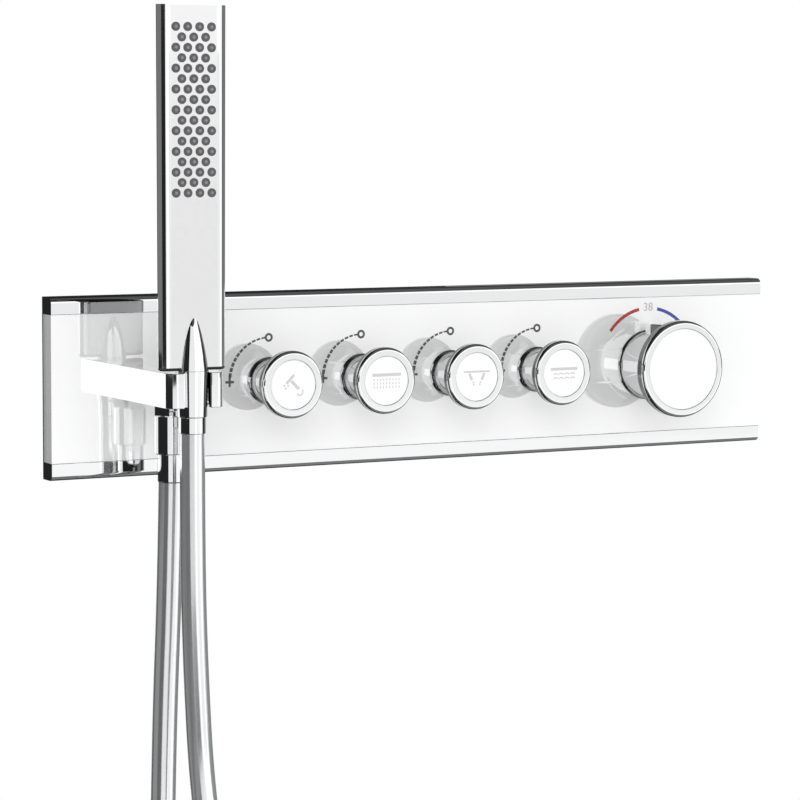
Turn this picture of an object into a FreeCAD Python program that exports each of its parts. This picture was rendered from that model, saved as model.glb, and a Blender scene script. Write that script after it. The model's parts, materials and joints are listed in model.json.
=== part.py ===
"""A thermostatic shower mixer: a wall panel with four valve knobs, a thermostat knob and a hand shower.

Millimetres. The origin is the middle of the panel's back on the wall, +X runs along the panel,
-Y points out of the wall and +Z is up. What lies at +Y is built into the wall.
"""
import math
import os
from collections import namedtuple

import FreeCAD
import Part

# Panel: a white glass plate between two chrome bars, on a carrier with a gasket to the wall
panel_length = 492.0
panel_height = 105.0
panel_depth = 13.0
bar_height = 10.0
bar_proud = 0.4
bar_edge_radius = 3.0
plate_thickness = 8.0
gasket_thickness = 1.5
gasket_width = 6.0

# Knob places along the panel
knob_count = 4
first_knob_x = -107.9
knob_pitch = 61.8
thermostat_x = 159.7

# Knobs: a neck, a flare and a disc with a white inset face; reach is measured from the panel's front
KnobSizes = namedtuple("KnobSizes", "neck_radius neck_length neck_wall flare_radius disc_radius "
                                    "disc_thickness reach face_radius hub_radius hub_length spindle_radius")
volume_sizes = KnobSizes(
    neck_radius=13.0, neck_length=13.5, neck_wall=1.8, flare_radius=17.2, disc_radius=19.9,
    disc_thickness=6.6, reach=32.4, face_radius=14.5, hub_radius=7.5, hub_length=11.0, spindle_radius=5.0)
thermostat_sizes = KnobSizes(
    neck_radius=21.7, neck_length=21.4, neck_wall=2.0, flare_radius=26.5, disc_radius=30.1,
    disc_thickness=8.0, reach=40.7, face_radius=25.1, hub_radius=10.0, hub_length=20.0, spindle_radius=6.0)
knob_gap = 0.4
disc_back_round = 1.8
disc_front_round = 2.2
cap_thickness = 1.8
cap_gap = 0.1
cap_below_rim = 0.2
cap_edge_round = 0.4
knob_screw_radius = 2.0
knob_screw_head_radius = 3.5
knob_screw_head_height = 2.4
knob_screw_grip = 10.0
hub_end_wall = 1.5
loose_fit = 0.1
running_fit = 0.05
face_gap = 0.3
tolerance = 0.001

# Safety stop button on the thermostat neck, with its spring
button_width = 8.0
button_start = 3.5
button_length = 17.4
button_height = 4.7
button_flange = 1.6
button_flange_depth = 2.6
button_gap = 0.3
button_travel = 2.5
button_edge_round = 1.0
spring_wire_radius = 0.4
button_spring_radius = 2.6
button_spring_turns = 4

# Valve body in the wall
body_axis_y = 52.0
body_tube_radius = 16.0
body_tube_left = -203.0
body_tube_right = 192.0
boss_front_y = 14.0
volume_boss_radius = 18.5
thermostat_boss_radius = 26.0
thermostat_boss_back_y = 66.0
holder_boss_radius = 15.5
port_boss_radius = 14.0
port_boss_reach = 38.0
inlet_boss_reach = 26.0
port_thread_radius = 9.32
port_thread_depth = 16.0
inlet_spacing = 60.0
check_valve_radius = 8.0
check_valve_length = 12.0
foot_places = (-150.0, -15.0, 112.0)
foot_width = 26.0
foot_height = 28.0
foot_stand = 1.0

# Cartridges
volume_pocket_radius = 14.0
volume_pocket_floor_y = 48.0
volume_sleeve_radius = 10.0
volume_sleeve_reach = 10.0
ceramic_disc_radius = 11.0
ceramic_disc_thickness = 10.0
thermostat_pocket_radius = 20.0
thermostat_pocket_floor_y = 60.0
thermostat_sleeve_radius = 11.5
thermostat_sleeve_reach = 8.0
cartridge_flange_width = 3.0
cartridge_flange_height = 6.0
cartridge_wall = 2.4
cartridge_front_wall = 16.0
element_gap = 0.8
element_radius = 7.0
element_edge_round = 1.5
element_length = 14.0
element_disc_radius = 12.0
element_disc_thickness = 6.0
drive_nut_radius = 11.0
drive_nut_thickness = 5.0
return_spring_radius = 7.5
return_spring_wire_radius = 0.8
return_spring_turns = 3

# Mounting plate, screws and panel studs
mount_plate_length = 420.0
mount_plate_height = 88.0
mount_plate_thickness = 2.5
mount_plate_corner = 8.0
mount_hole_radius = 3.3
mount_hole_span_x = 330.0
mount_hole_span_z = 72.0
body_screw_radius = 2.5
body_screw_span = 20.0
body_screw_grip = 10.0
body_screw_head_radius = 4.6
body_screw_head_height = 3.5
stud_radius = 3.0
stud_span_x = 408.0
stud_span_z = 62.0

# Holder arm with its open seat and the hose outlet under it
holder_x = -184.4
holder_z = 2.3
arm_width = 35.2
arm_height = 19.8
arm_reach = 63.0
arm_corner_radius = 4.0
arm_edge_chamfer = 0.5
seat_reach = 57.0
seat_slot_width = 16.4
seat_mouth_round = 0.8
seat_gap = 0.3
outlet_reach = 28.5
channel_radius = 5.0
stub_radius = 8.0
stub_wall = 3.0
stub_depth_in_arm = 10.0
stub_depth_in_boss = 10.0
outlet_thread_radius = 8.2
outlet_thread_depth = 6.0
outlet_collar_flats = 17.6
outlet_collar_height = 6.8
outlet_spigot_length = 11.5

# Hose and its end fittings
hose_radius = 7.2
washer_thickness = 2.2
washer_hole_radius = 5.0
nut_radius = 9.9
nut_height = 22.0
nut_top_round = 1.0
sleeve_radius = 7.7
sleeve_bottom_z = -52.8
sleeve_neck_radius = 5.8
sleeve_wall = 1.4
sleeve_edge_round = 0.6
sleeve_flange_thickness = 2.0
cone_top_radius = 9.2
cone_bottom_radius = 8.4
cone_bottom_z = -13.2
collar_bottom_z = -22.5
collar_radius = 7.7
hose_split_z = -86.0
hose_arc_share = 0.45
hose_route = [(0.0, -86.0), (0.0, -148.0), (-12.0, -228.0), (-46.0, -304.0), (-96.0, -372.0),
              (-128.0, -436.0), (-130.0, -506.0), (-95.0, -554.0), (-38.0, -573.0), (19.0, -554.0),
              (54.0, -506.0), (55.0, -432.0), (51.0, -350.0), (45.0, -266.0), (37.0, -185.0),
              (28.5, -112.0), (28.5, -52.8)]

# Hand shower: a flat stick with a spray face and a bullet shaped end
stick_reach = 55.0
stick_thickness = 10.0
stick_bottom_z = 13.2
stick_length = 203.9
stick_top_width = 42.6
stick_bottom_width = 41.2
stick_edge_radius = 3.2
stick_corner_radius = 1.5
face_inset = 3.4
face_thickness = 2.0
bullet_height = 29.7
bullet_tip_radius = 1.6
thread_radius = 7.1
thread_length = 12.0
restrictor_radius = 5.4
restrictor_thickness = 3.0
nozzle_rows = 17
nozzles_in_long_row = 4
nozzle_row_pitch = 5.76
nozzle_pitch = 7.3
nozzle_radius = 2.6
nozzle_proud = 0.5
nozzle_first_row = 12.2
mat_thickness = 1.5
mat_margin = 1.2
waterway_depth = 2.5

# Worked out places
plate_half_height = panel_height / 2 - bar_height
plate_back_y = plate_thickness - panel_depth
knob_xs = [first_knob_x + i * knob_pitch for i in range(knob_count)]
seat_y = -panel_depth - seat_reach
outlet_y = -panel_depth - outlet_reach
mount_plate_y = body_axis_y + body_tube_radius + foot_stand
stick_front_y = -panel_depth - stick_reach - stick_thickness / 2
stick_top_z = stick_bottom_z + stick_length
arm_bottom_z = holder_z - arm_height / 2


def vector(x, y, z):
    return FreeCAD.Vector(x, y, z)


def reach_y(reach):
    """The place of a point that stands this far out of the panel's front."""
    return -panel_depth - reach


def outline(points, place):
    """A closed wire through the points; a third number rounds that corner with a tangent arc."""
    corners = []
    for index, point in enumerate(points):
        here = vector(point[0], point[1], 0)
        before = vector(*points[index - 1][:2], 0)
        after = vector(*points[(index + 1) % len(points)][:2], 0)
        radius = point[2] if len(point) > 2 else 0.0
        to_before = (before - here).normalize()
        to_after = (after - here).normalize()
        half_angle = to_before.getAngle(to_after) / 2
        run = radius / math.tan(half_angle)
        inward = (to_before + to_after) if radius else vector(0, 0, 0)
        middle = here
        if radius:
            inward.normalize()
            middle = here + inward * (radius / math.sin(half_angle) - radius)
        corners.append((here + to_before * run, middle, here + to_after * run, radius))
    placed = [[place(p.x, p.y) for p in corner[:3]] + [corner[3]] for corner in corners]
    edges = []
    for index, (start, middle, end, radius) in enumerate(placed):
        following = placed[(index + 1) % len(placed)][0]
        if radius:
            edges.append(Part.Arc(start, middle, end).toShape())
        if end.distanceToPoint(following) > 1e-6:
            edges.append(Part.LineSegment(end, following).toShape())
    return Part.Wire(edges)


def closed(shape):
    """The shape as a solid whose faces point outwards."""
    solid = shape.Solids[0]
    return solid.reversed() if solid.Volume < 0 else solid


def turned_out(points, x):
    """A body turned about the knob axis at x; the points are (y, radius)."""
    wire = outline(points, lambda y, radius: vector(x + radius, y, 0))
    return closed(Part.Face(wire).revolve(vector(x, 0, 0), vector(0, 1, 0), 360))


def turned_up(points, x, y):
    """A body turned about an upright axis; the points are (z, radius)."""
    wire = outline(points, lambda z, radius: vector(x + radius, y, z))
    return closed(Part.Face(wire).revolve(vector(x, y, 0), vector(0, 0, 1), 360))


def rod(x, z, radius, y_from, y_to):
    """A round bar along Y."""
    return Part.makeCylinder(radius, y_to - y_from, vector(x, y_from, z), vector(0, 1, 0))


def post(x, y, radius, z_from, z_to):
    """A round bar along Z."""
    return Part.makeCylinder(radius, z_to - z_from, vector(x, y, z_from), vector(0, 0, 1))


def block(x_span, y_span, z_span):
    size = [span[1] - span[0] for span in (x_span, y_span, z_span)]
    return Part.makeBox(*size, vector(x_span[0], y_span[0], z_span[0]))


def front_plate(points, y_from, y_to):
    """A plate whose front outline has the points (x, z)."""
    wire = outline(points, lambda x, z: vector(x, y_from, z))
    return closed(Part.Face(wire).extrude(vector(0, y_to - y_from, 0)))


def tangent_arc(start, corner, end):
    """The arc from start to end whose tangents there meet at the corner."""
    middle = (start + end) / 2
    half_chord = (end - start).Length / 2
    half_turn = math.acos(half_chord / (corner - start).Length)
    rise = half_chord * math.tan(half_turn / 2)
    return Part.Arc(start, middle + (corner - middle).normalize() * rise, end).toShape()


def biarc(start, start_way, end, end_way):
    """Two tangent arcs from one point and direction to the next."""
    chord = end - start
    ways = start_way + end_way
    bend = 2 * (1 - start_way.dot(end_way))
    along = chord.dot(ways)
    reach = (math.sqrt(along ** 2 + bend * chord.dot(chord)) - along) / bend
    first_corner = start + start_way * reach
    last_corner = end - end_way * reach
    joint = (first_corner + last_corner) / 2
    return [tangent_arc(start, first_corner, joint), tangent_arc(joint, last_corner, end)]


def coil(radius, wire_radius, height, turns):
    """A spring standing on the origin along +Z, its height measured over the wire."""
    pitch = (height - 2 * wire_radius) / turns
    places = []
    for quarter in range(4 * turns + 1):
        angle = quarter * math.pi / 2
        place = vector(radius * math.cos(angle), radius * math.sin(angle), wire_radius + pitch * quarter / 4)
        way = vector(-math.sin(angle), math.cos(angle), pitch / (2 * math.pi * radius)).normalize()
        places.append((place, way))
    edges = []
    for (start, start_way), (end, end_way) in zip(places, places[1:]):
        edges += biarc(start, start_way, end, end_way)
    section = Part.Wire(Part.makeCircle(wire_radius, *places[0]))
    print(f"spring gap between turns {pitch - 2 * wire_radius:.2f}")
    return closed(Part.Wire(edges).makePipeShell([section], True, False))


def save(name, shape):
    shape.exportStep(f"parts/{name}.step")


# Panel
def panel_holes(y_from, y_to):
    """What passes through the plate and the carrier: the cartridge sleeves and the holder's stub."""
    holes = [rod(x, 0, volume_sleeve_radius + loose_fit, y_from, y_to) for x in knob_xs]
    holes.append(rod(thermostat_x, 0, thermostat_sleeve_radius + loose_fit, y_from, y_to))
    holes.append(rod(holder_x, holder_z, stub_radius + loose_fit, y_from, y_to))
    return holes


def panel_sheet(y_from, y_to):
    half_length = panel_length / 2
    sheet = block((-half_length, half_length), (y_from, y_to), (-plate_half_height, plate_half_height))
    return sheet.cut(panel_holes(y_from, y_to))


def bar(side):
    """A chrome bar along the panel's top (side 1) or bottom (side -1), rounded at its outer front edge."""
    front = -panel_depth - bar_proud
    inner = side * plate_half_height
    outer = side * panel_height / 2
    section = [(0, inner), (front, inner), (front, outer, bar_edge_radius), (0, outer)]
    wire = outline(section, lambda y, z: vector(-panel_length / 2, y, z))
    return closed(Part.Face(wire).extrude(vector(panel_length, 0, 0)))


def panel_gasket():
    half_length = panel_length / 2
    y_span = (-gasket_thickness, 0)
    outer = block((-half_length, half_length), y_span, (-plate_half_height, plate_half_height))
    inner_x = half_length - gasket_width
    inner_z = plate_half_height - gasket_width
    return outer.cut(block((-inner_x, inner_x), y_span, (-inner_z, inner_z)))


# Knobs
def knob_heights(sizes):
    """The reaches inside a knob: the cap's seat, the screw head's seat and the spindle's end."""
    cap_seat = sizes.reach - cap_thickness - cap_below_rim
    head_seat = cap_seat - knob_screw_head_height - loose_fit
    return cap_seat, head_seat, head_seat - hub_end_wall


def knob(sizes, x):
    cap_seat, head_seat, spindle_end = knob_heights(sizes)
    disc_back = sizes.reach - sizes.disc_thickness
    cavity_end = disc_back - hub_end_wall
    screw_hole = knob_screw_radius + loose_fit
    head_hole = knob_screw_head_radius + loose_fit
    face_hole = sizes.face_radius + cap_gap
    bore = sizes.spindle_radius + loose_fit / 2
    hub_back = spindle_end - sizes.hub_length
    inner = sizes.neck_radius - sizes.neck_wall
    outside = [(knob_gap, sizes.neck_radius), (sizes.neck_length, sizes.neck_radius),
               (disc_back, sizes.flare_radius), (disc_back, sizes.disc_radius, disc_back_round),
               (sizes.reach, sizes.disc_radius, disc_front_round)]
    recess = [(sizes.reach, face_hole), (cap_seat, face_hole), (cap_seat, head_hole), (head_seat, head_hole),
              (head_seat, screw_hole), (spindle_end, screw_hole)]
    inside = [(spindle_end, bore), (hub_back, bore), (hub_back, sizes.hub_radius),
              (cavity_end, sizes.hub_radius), (cavity_end, inner), (knob_gap, inner)]
    profile = outside + recess + inside
    return turned_out([(reach_y(point[0]), *point[1:]) for point in profile], x)


def knob_cap(sizes, x):
    cap_seat = knob_heights(sizes)[0]
    front = cap_seat + cap_thickness
    profile = [(cap_seat, 0), (cap_seat, sizes.face_radius), (front, sizes.face_radius, cap_edge_round),
               (front, 0)]
    return turned_out([(reach_y(point[0]), *point[1:]) for point in profile], x)


def knob_screw(sizes, x):
    head_seat, spindle_end = knob_heights(sizes)[1:]
    head_top = head_seat + knob_screw_head_height
    socket_floor = head_top - knob_screw_head_height / 2
    tip = spindle_end - knob_screw_grip
    profile = [(tip, 0), (tip, knob_screw_radius), (head_seat, knob_screw_radius),
               (head_seat, knob_screw_head_radius), (head_top, knob_screw_head_radius),
               (head_top, knob_screw_radius), (socket_floor, knob_screw_radius), (socket_floor, 0)]
    return turned_out([(reach_y(reach), radius) for reach, radius in profile], x)


def spindle_bore(sizes, x):
    """The tapped hole for the knob screw in a spindle's end."""
    spindle_end = knob_heights(sizes)[2]
    hole_floor = spindle_end - knob_screw_grip - loose_fit
    return rod(x, 0, knob_screw_radius + loose_fit / 2, reach_y(spindle_end), reach_y(hole_floor))


# Volume cartridges with their spindles
def cartridge(x, sleeve_radius_out, sleeve_reach, pocket_radius, floor_y, spindle_radius):
    """A cup in the body's pocket with a flange on the boss and a sleeve that guides the spindle."""
    outer = pocket_radius - loose_fit
    flange = pocket_radius + cartridge_flange_width
    bore = spindle_radius + running_fit
    cavity = outer - cartridge_wall
    flange_front = boss_front_y - cartridge_flange_height
    cavity_front = boss_front_y + cartridge_front_wall
    profile = [(floor_y, outer), (boss_front_y, outer), (boss_front_y, flange), (flange_front, flange),
               (flange_front, sleeve_radius_out), (reach_y(sleeve_reach), sleeve_radius_out),
               (reach_y(sleeve_reach), bore), (cavity_front, bore), (cavity_front, cavity), (floor_y, cavity)]
    return turned_out(profile, x)


def volume_spindle(x):
    """The valve's stem with its ceramic disc at the back."""
    sizes = volume_sizes
    disc_front = boss_front_y + cartridge_front_wall + face_gap
    disc_back = disc_front + ceramic_disc_thickness
    front = reach_y(knob_heights(sizes)[2])
    profile = [(front, 0), (front, sizes.spindle_radius), (disc_front, sizes.spindle_radius),
               (disc_front, ceramic_disc_radius), (disc_back, ceramic_disc_radius), (disc_back, 0)]
    return turned_out(profile, x).cut(spindle_bore(sizes, x))


# Thermostat
thermostat_cavity_front = boss_front_y + cartridge_front_wall
drive_nut_front = thermostat_cavity_front + face_gap
element_front = drive_nut_front + drive_nut_thickness + element_gap
element_back = element_front + element_length


def thermostat_spindle():
    sizes = thermostat_sizes
    front = reach_y(knob_heights(sizes)[2])
    nut_back = drive_nut_front + drive_nut_thickness
    profile = [(front, 0), (front, sizes.spindle_radius), (drive_nut_front, sizes.spindle_radius),
               (drive_nut_front, drive_nut_radius), (nut_back, drive_nut_radius), (nut_back, 0)]
    return turned_out(profile, thermostat_x).cut(spindle_bore(sizes, thermostat_x))


def thermostat_element():
    """The wax capsule with the mixing disc that it moves."""
    disc_front = element_back - element_disc_thickness
    profile = [(element_front, 0), (element_front, element_radius, element_edge_round),
               (disc_front, element_radius), (disc_front, element_disc_radius),
               (element_back, element_disc_radius), (element_back, 0)]
    return turned_out(profile, thermostat_x)


def thermostat_spring():
    height = thermostat_pocket_floor_y - element_back - 2 * face_gap
    spring = coil(return_spring_radius, return_spring_wire_radius, height, return_spring_turns)
    spring.rotate(vector(0, 0, 0), vector(1, 0, 0), -90)
    spring.translate(vector(thermostat_x, element_back + face_gap, 0))
    return spring


def button_slot(margin):
    """The space of the button's finger part, widened by a margin on every side."""
    half = button_width / 2 + margin
    y_span = (reach_y(button_start + button_length + margin), reach_y(button_start - margin))
    sizes = thermostat_sizes
    low = sizes.neck_radius - sizes.neck_wall - button_flange_depth
    return block((thermostat_x - half, thermostat_x + half), y_span, (low, sizes.neck_radius + button_height))


def safety_button():
    sizes = thermostat_sizes
    finger = button_slot(0)
    top = sizes.neck_radius + button_height
    top_edges = [e for e in finger.Edges if e.BoundBox.ZMin > top - tolerance]
    finger = finger.makeFillet(button_edge_round, top_edges)
    inside = sizes.neck_radius - sizes.neck_wall - face_gap
    low = sizes.neck_radius - sizes.neck_wall - button_flange_depth
    half = button_width / 2 + button_flange
    y_span = (reach_y(button_start + button_length), reach_y(button_start))
    flange = block((thermostat_x - half, thermostat_x + half), y_span, (low, sizes.neck_radius))
    return finger.fuse(flange.common(rod(thermostat_x, 0, inside, *y_span))).removeSplitter()


def safety_spring():
    sizes = thermostat_sizes
    height = sizes.neck_radius - sizes.neck_wall - button_flange_depth - sizes.hub_radius - 2 * face_gap
    spring = coil(button_spring_radius, spring_wire_radius, height, button_spring_turns)
    spring_reach = button_start + button_length / 2 + button_spring_radius
    spring.translate(vector(thermostat_x, reach_y(spring_reach), sizes.hub_radius + face_gap))
    return spring


# Valve body and what carries it
def inlet_xs():
    return [thermostat_x - inlet_spacing / 2, thermostat_x + inlet_spacing / 2]


def valve_body():
    tube = Part.makeCylinder(body_tube_radius, body_tube_right - body_tube_left,
                             vector(body_tube_left, body_axis_y, 0), vector(1, 0, 0))
    adds = [rod(x, 0, volume_boss_radius, boss_front_y, body_axis_y) for x in knob_xs]
    adds.append(rod(thermostat_x, 0, thermostat_boss_radius, boss_front_y, thermostat_boss_back_y))
    adds.append(rod(holder_x, 0, holder_boss_radius, boss_front_y, body_axis_y))
    adds += [post(x, body_axis_y, port_boss_radius, 0, port_boss_reach) for x in knob_xs[1:]]
    adds += [post(x, body_axis_y, port_boss_radius, -inlet_boss_reach, 0) for x in inlet_xs()]
    for x in foot_places:
        half = foot_width / 2
        z_span = (-foot_height / 2, foot_height / 2)
        adds.append(block((x - half, x + half), (body_axis_y, mount_plate_y), z_span))
    pocket = volume_pocket_floor_y
    cuts = [rod(x, 0, volume_pocket_radius, boss_front_y, pocket) for x in knob_xs]
    cuts.append(rod(thermostat_x, 0, thermostat_pocket_radius, boss_front_y, thermostat_pocket_floor_y))
    stub_end = boss_front_y + stub_depth_in_boss
    cuts.append(rod(holder_x, holder_z, stub_radius + loose_fit, boss_front_y, stub_end))
    mouth = port_boss_reach - port_thread_depth
    cuts += [post(x, body_axis_y, port_thread_radius, mouth, port_boss_reach) for x in knob_xs[1:]]
    cuts += [inlet_bore(x) for x in inlet_xs()]
    cuts += [body_screw_hole(x, z) for x in foot_places for z in (-body_screw_span / 2, body_screw_span / 2)]
    return tube.multiFuse(adds).cut(cuts).removeSplitter()


def inlet_bore(x):
    """The inlet's thread with the narrower seat of the check valve behind it."""
    seat_radius = check_valve_radius + loose_fit
    step = port_thread_depth - inlet_boss_reach
    end = step + check_valve_length
    profile = [(-inlet_boss_reach, 0), (-inlet_boss_reach, port_thread_radius), (step, port_thread_radius),
               (step, seat_radius), (end, seat_radius), (end, 0)]
    return turned_up(profile, x, body_axis_y)


def check_valve(x):
    start = port_thread_depth - inlet_boss_reach
    return post(x, body_axis_y, check_valve_radius, start, start + check_valve_length)


def body_screw_hole(x, z):
    back = mount_plate_y + mount_plate_thickness
    return rod(x, z, body_screw_radius + loose_fit, mount_plate_y - body_screw_grip - loose_fit, back)


def body_screw(x, z):
    back = mount_plate_y + mount_plate_thickness
    shank = rod(x, z, body_screw_radius, mount_plate_y - body_screw_grip, back)
    head = rod(x, z, body_screw_head_radius, back, back + body_screw_head_height)
    return shank.fuse(head).removeSplitter()


def studs():
    places = [(sx * stud_span_x / 2, sz * stud_span_z / 2) for sx in (-1, 1) for sz in (-1, 1)]
    carrier_back = -gasket_thickness
    return [rod(x, z, stud_radius, carrier_back, mount_plate_y) for x, z in places]


def mounting_plate():
    half_x = mount_plate_length / 2
    half_z = mount_plate_height / 2
    sides = ((-1, -1), (1, -1), (1, 1), (-1, 1))
    corners = [(sx * half_x, sz * half_z, mount_plate_corner) for sx, sz in sides]
    back = mount_plate_y + mount_plate_thickness
    plate = front_plate(corners, mount_plate_y, back)
    places = [(sx * mount_hole_span_x / 2, sz * mount_hole_span_z / 2) for sx, sz in sides]
    holes = [rod(x, z, mount_hole_radius, mount_plate_y, back) for x, z in places]
    holes += [body_screw_hole(x, z) for x in foot_places for z in (-body_screw_span / 2, body_screw_span / 2)]
    return plate.cut(holes)


# Holder arm and hose outlet
def cone_radius(z):
    """The cone nut's outer radius at a height."""
    share = (z - cone_bottom_z) / (stick_bottom_z - cone_bottom_z)
    return cone_bottom_radius + share * (cone_top_radius - cone_bottom_radius)


def holder_arm():
    half = arm_width / 2
    slot = seat_slot_width / 2
    tip = reach_y(arm_reach)
    wall = -panel_depth
    plan = [(holder_x - half, wall), (holder_x + half, wall), (holder_x + half, tip, arm_corner_radius),
            (holder_x + slot, tip, seat_mouth_round), (holder_x + slot, seat_y), (holder_x - slot, seat_y),
            (holder_x - slot, tip, seat_mouth_round), (holder_x - half, tip, arm_corner_radius)]
    wire = outline(plan, lambda x, y: vector(x, y, arm_bottom_z))
    arm = closed(Part.Face(wire).extrude(vector(0, 0, arm_height)))
    low, high = arm_bottom_z, arm_bottom_z + arm_height
    seat = Part.makeCone(cone_radius(low) + seat_gap, cone_radius(high) + seat_gap, arm_height,
                         vector(holder_x, seat_y, low), vector(0, 0, 1))
    arm = arm.cut(seat)
    level = [e for e in arm.Edges if e.BoundBox.ZLength < tolerance]
    rims = [e for e in level if e.BoundBox.YMin < wall - tolerance]
    arm = arm.makeChamfer(arm_edge_chamfer, rims)
    stub_end = wall - stub_depth_in_arm
    cuts = [rod(holder_x, holder_z, stub_radius + loose_fit, stub_end, wall),
            rod(holder_x, holder_z, channel_radius, outlet_y - channel_radius, stub_end),
            post(holder_x, outlet_y, channel_radius, low, holder_z),
            post(holder_x, outlet_y, outlet_thread_radius + loose_fit, low, low + outlet_thread_depth)]
    return arm.cut(cuts)


def holder_stub():
    """The threaded tube that carries the arm and brings water to it."""
    front = -panel_depth - stub_depth_in_arm
    back = boss_front_y + stub_depth_in_boss
    bore = stub_radius - stub_wall
    profile = [(front, bore), (front, stub_radius), (back, stub_radius), (back, bore)]
    stub = turned_out(profile, holder_x)
    stub.translate(vector(0, 0, holder_z))
    return stub


outlet_collar_bottom = arm_bottom_z - outlet_collar_height
spigot_bottom = outlet_collar_bottom - outlet_spigot_length
nut_top = outlet_collar_bottom - face_gap
nut_bottom = nut_top - nut_height
outlet_washer_bottom = spigot_bottom - washer_thickness


def hose_outlet():
    """A nipple under the arm, with a six-sided collar and a bore for the check valve."""
    corner_radius = outlet_collar_flats / math.sqrt(3)
    angles = [math.radians(60 * corner) for corner in range(6)]
    corners = [(corner_radius * math.cos(angle), corner_radius * math.sin(angle)) for angle in angles]
    hexagon = outline(corners, lambda x, y: vector(holder_x + x, outlet_y + y, outlet_collar_bottom))
    collar = closed(Part.Face(hexagon).extrude(vector(0, 0, outlet_collar_height)))
    top = post(holder_x, outlet_y, outlet_thread_radius, arm_bottom_z, arm_bottom_z + outlet_thread_depth)
    spigot = post(holder_x, outlet_y, outlet_thread_radius, spigot_bottom, outlet_collar_bottom)
    bore_top = arm_bottom_z + outlet_thread_depth
    bore = post(holder_x, outlet_y, channel_radius + loose_fit, spigot_bottom, bore_top)
    return collar.multiFuse([top, spigot]).removeSplitter().cut(bore)


def hose_check_valve():
    top = outlet_collar_bottom + outlet_collar_height / 2
    return post(holder_x, outlet_y, channel_radius, spigot_bottom, top)


def outlet_nut():
    inner = outlet_thread_radius + loose_fit
    neck = sleeve_neck_radius + loose_fit
    shelf = outlet_washer_bottom - sleeve_flange_thickness
    profile = [(nut_top, inner), (nut_top, nut_radius, nut_top_round),
               (nut_bottom, nut_radius, nut_top_round), (nut_bottom, neck), (shelf, neck), (shelf, inner)]
    return turned_up(profile, holder_x, outlet_y)


def washer(top, radius, y):
    hole = post(holder_x, y, washer_hole_radius, top - washer_thickness, top)
    return post(holder_x, y, radius, top - washer_thickness, top).cut(hole)


def end_fitting(y, washer_bottom, flange_radius, nut_end, bottom, outer):
    """The hose's end: a flange inside the nut, a neck through it and a sleeve over the hose."""
    flange_bottom = washer_bottom - sleeve_flange_thickness
    bore = sleeve_neck_radius - sleeve_wall
    profile = [(washer_bottom, bore), (washer_bottom, flange_radius), (flange_bottom, flange_radius),
               (flange_bottom, sleeve_neck_radius), (nut_end, sleeve_neck_radius),
               (nut_end, outer, sleeve_edge_round), (bottom, outer, sleeve_edge_round), (bottom, bore)]
    return turned_up(profile, holder_x, y)


# Hand shower end of the hose
thread_bottom = stick_bottom_z - thread_length
cone_washer_bottom = thread_bottom - washer_thickness


def cone_nut():
    inner = thread_radius + loose_fit
    neck = sleeve_neck_radius + loose_fit
    shelf = cone_washer_bottom - sleeve_flange_thickness
    profile = [(stick_bottom_z, inner), (stick_bottom_z, cone_top_radius),
               (cone_bottom_z, cone_bottom_radius), (cone_bottom_z, neck), (shelf, neck), (shelf, inner)]
    return turned_up(profile, holder_x, seat_y)


def hose_front():
    return post(holder_x, seat_y, hose_radius, hose_split_z, collar_bottom_z)


def hose_rear():
    """The hanging loop, as straight runs joined by tangent arcs as large as the runs allow."""
    points = [vector(holder_x, seat_y + y, z) for y, z in hose_route]
    edges = []
    last = points[0]
    for before, here, after in zip(points, points[1:], points[2:]):
        to_before = (before - here).normalize()
        to_after = (after - here).normalize()
        half_turn = (math.pi - to_before.getAngle(to_after)) / 2
        run = hose_arc_share * min((before - here).Length, (after - here).Length)
        radius = run / math.tan(half_turn)
        inward = (to_before + to_after).normalize()
        start = here + to_before * run
        end = here + to_after * run
        middle = here + inward * (radius / math.cos(half_turn) - radius)
        edges.append(Part.LineSegment(last, start).toShape())
        edges.append(Part.Arc(start, middle, end).toShape())
        last = end
        print(f"hose bend at z {here.z:.0f}: radius {radius:.0f}")
    edges.append(Part.LineSegment(last, points[-1]).toShape())
    path = Part.Wire(edges)
    section = Part.Wire(Part.makeCircle(hose_radius, points[0], points[1] - points[0]))
    tube = closed(path.makePipeShell([section], True, False))
    length = path.Length
    share = tube.Volume / (math.pi * hose_radius ** 2 * length)
    print(f"hose length {length + collar_bottom_z - hose_split_z:.0f}, volume share {share:.4f}")
    return tube


# Hand shower
def stick_outline(inset):
    low = stick_bottom_z + inset
    high = stick_top_z - inset
    half_low = stick_bottom_width / 2 - inset
    half_high = stick_top_width / 2 - inset
    return [(holder_x - half_low, low), (holder_x + half_low, low),
            (holder_x + half_high, high, stick_corner_radius),
            (holder_x - half_high, high, stick_corner_radius)]


def bullet():
    """The outer form of the connector, from the stick's end to its tip."""
    tip = stick_bottom_z + bullet_height
    profile = [(stick_bottom_z, 0), (stick_bottom_z, cone_top_radius), (tip, bullet_tip_radius), (tip, 0)]
    return turned_up(profile, holder_x, seat_y)


def nozzle_places():
    places = []
    for row in range(nozzle_rows):
        count = nozzles_in_long_row - row % 2
        z = stick_top_z - nozzle_first_row - row * nozzle_row_pitch
        places += [(holder_x + (i - (count - 1) / 2) * nozzle_pitch, z) for i in range(count)]
    return places


def mat_spans():
    half = (nozzles_in_long_row - 1) / 2 * nozzle_pitch + nozzle_radius + mat_margin
    high = stick_top_z - nozzle_first_row + nozzle_radius + mat_margin
    low = stick_top_z - nozzle_first_row - (nozzle_rows - 1) * nozzle_row_pitch - nozzle_radius - mat_margin
    return (holder_x - half, holder_x + half), (low, high)


def handset_face():
    face_back = stick_front_y + face_thickness
    face = front_plate(stick_outline(face_inset), stick_front_y, face_back)
    holes = [rod(x, z, nozzle_radius + loose_fit, stick_front_y, face_back) for x, z in nozzle_places()]
    return face.cut(holes).cut(bullet())


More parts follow.
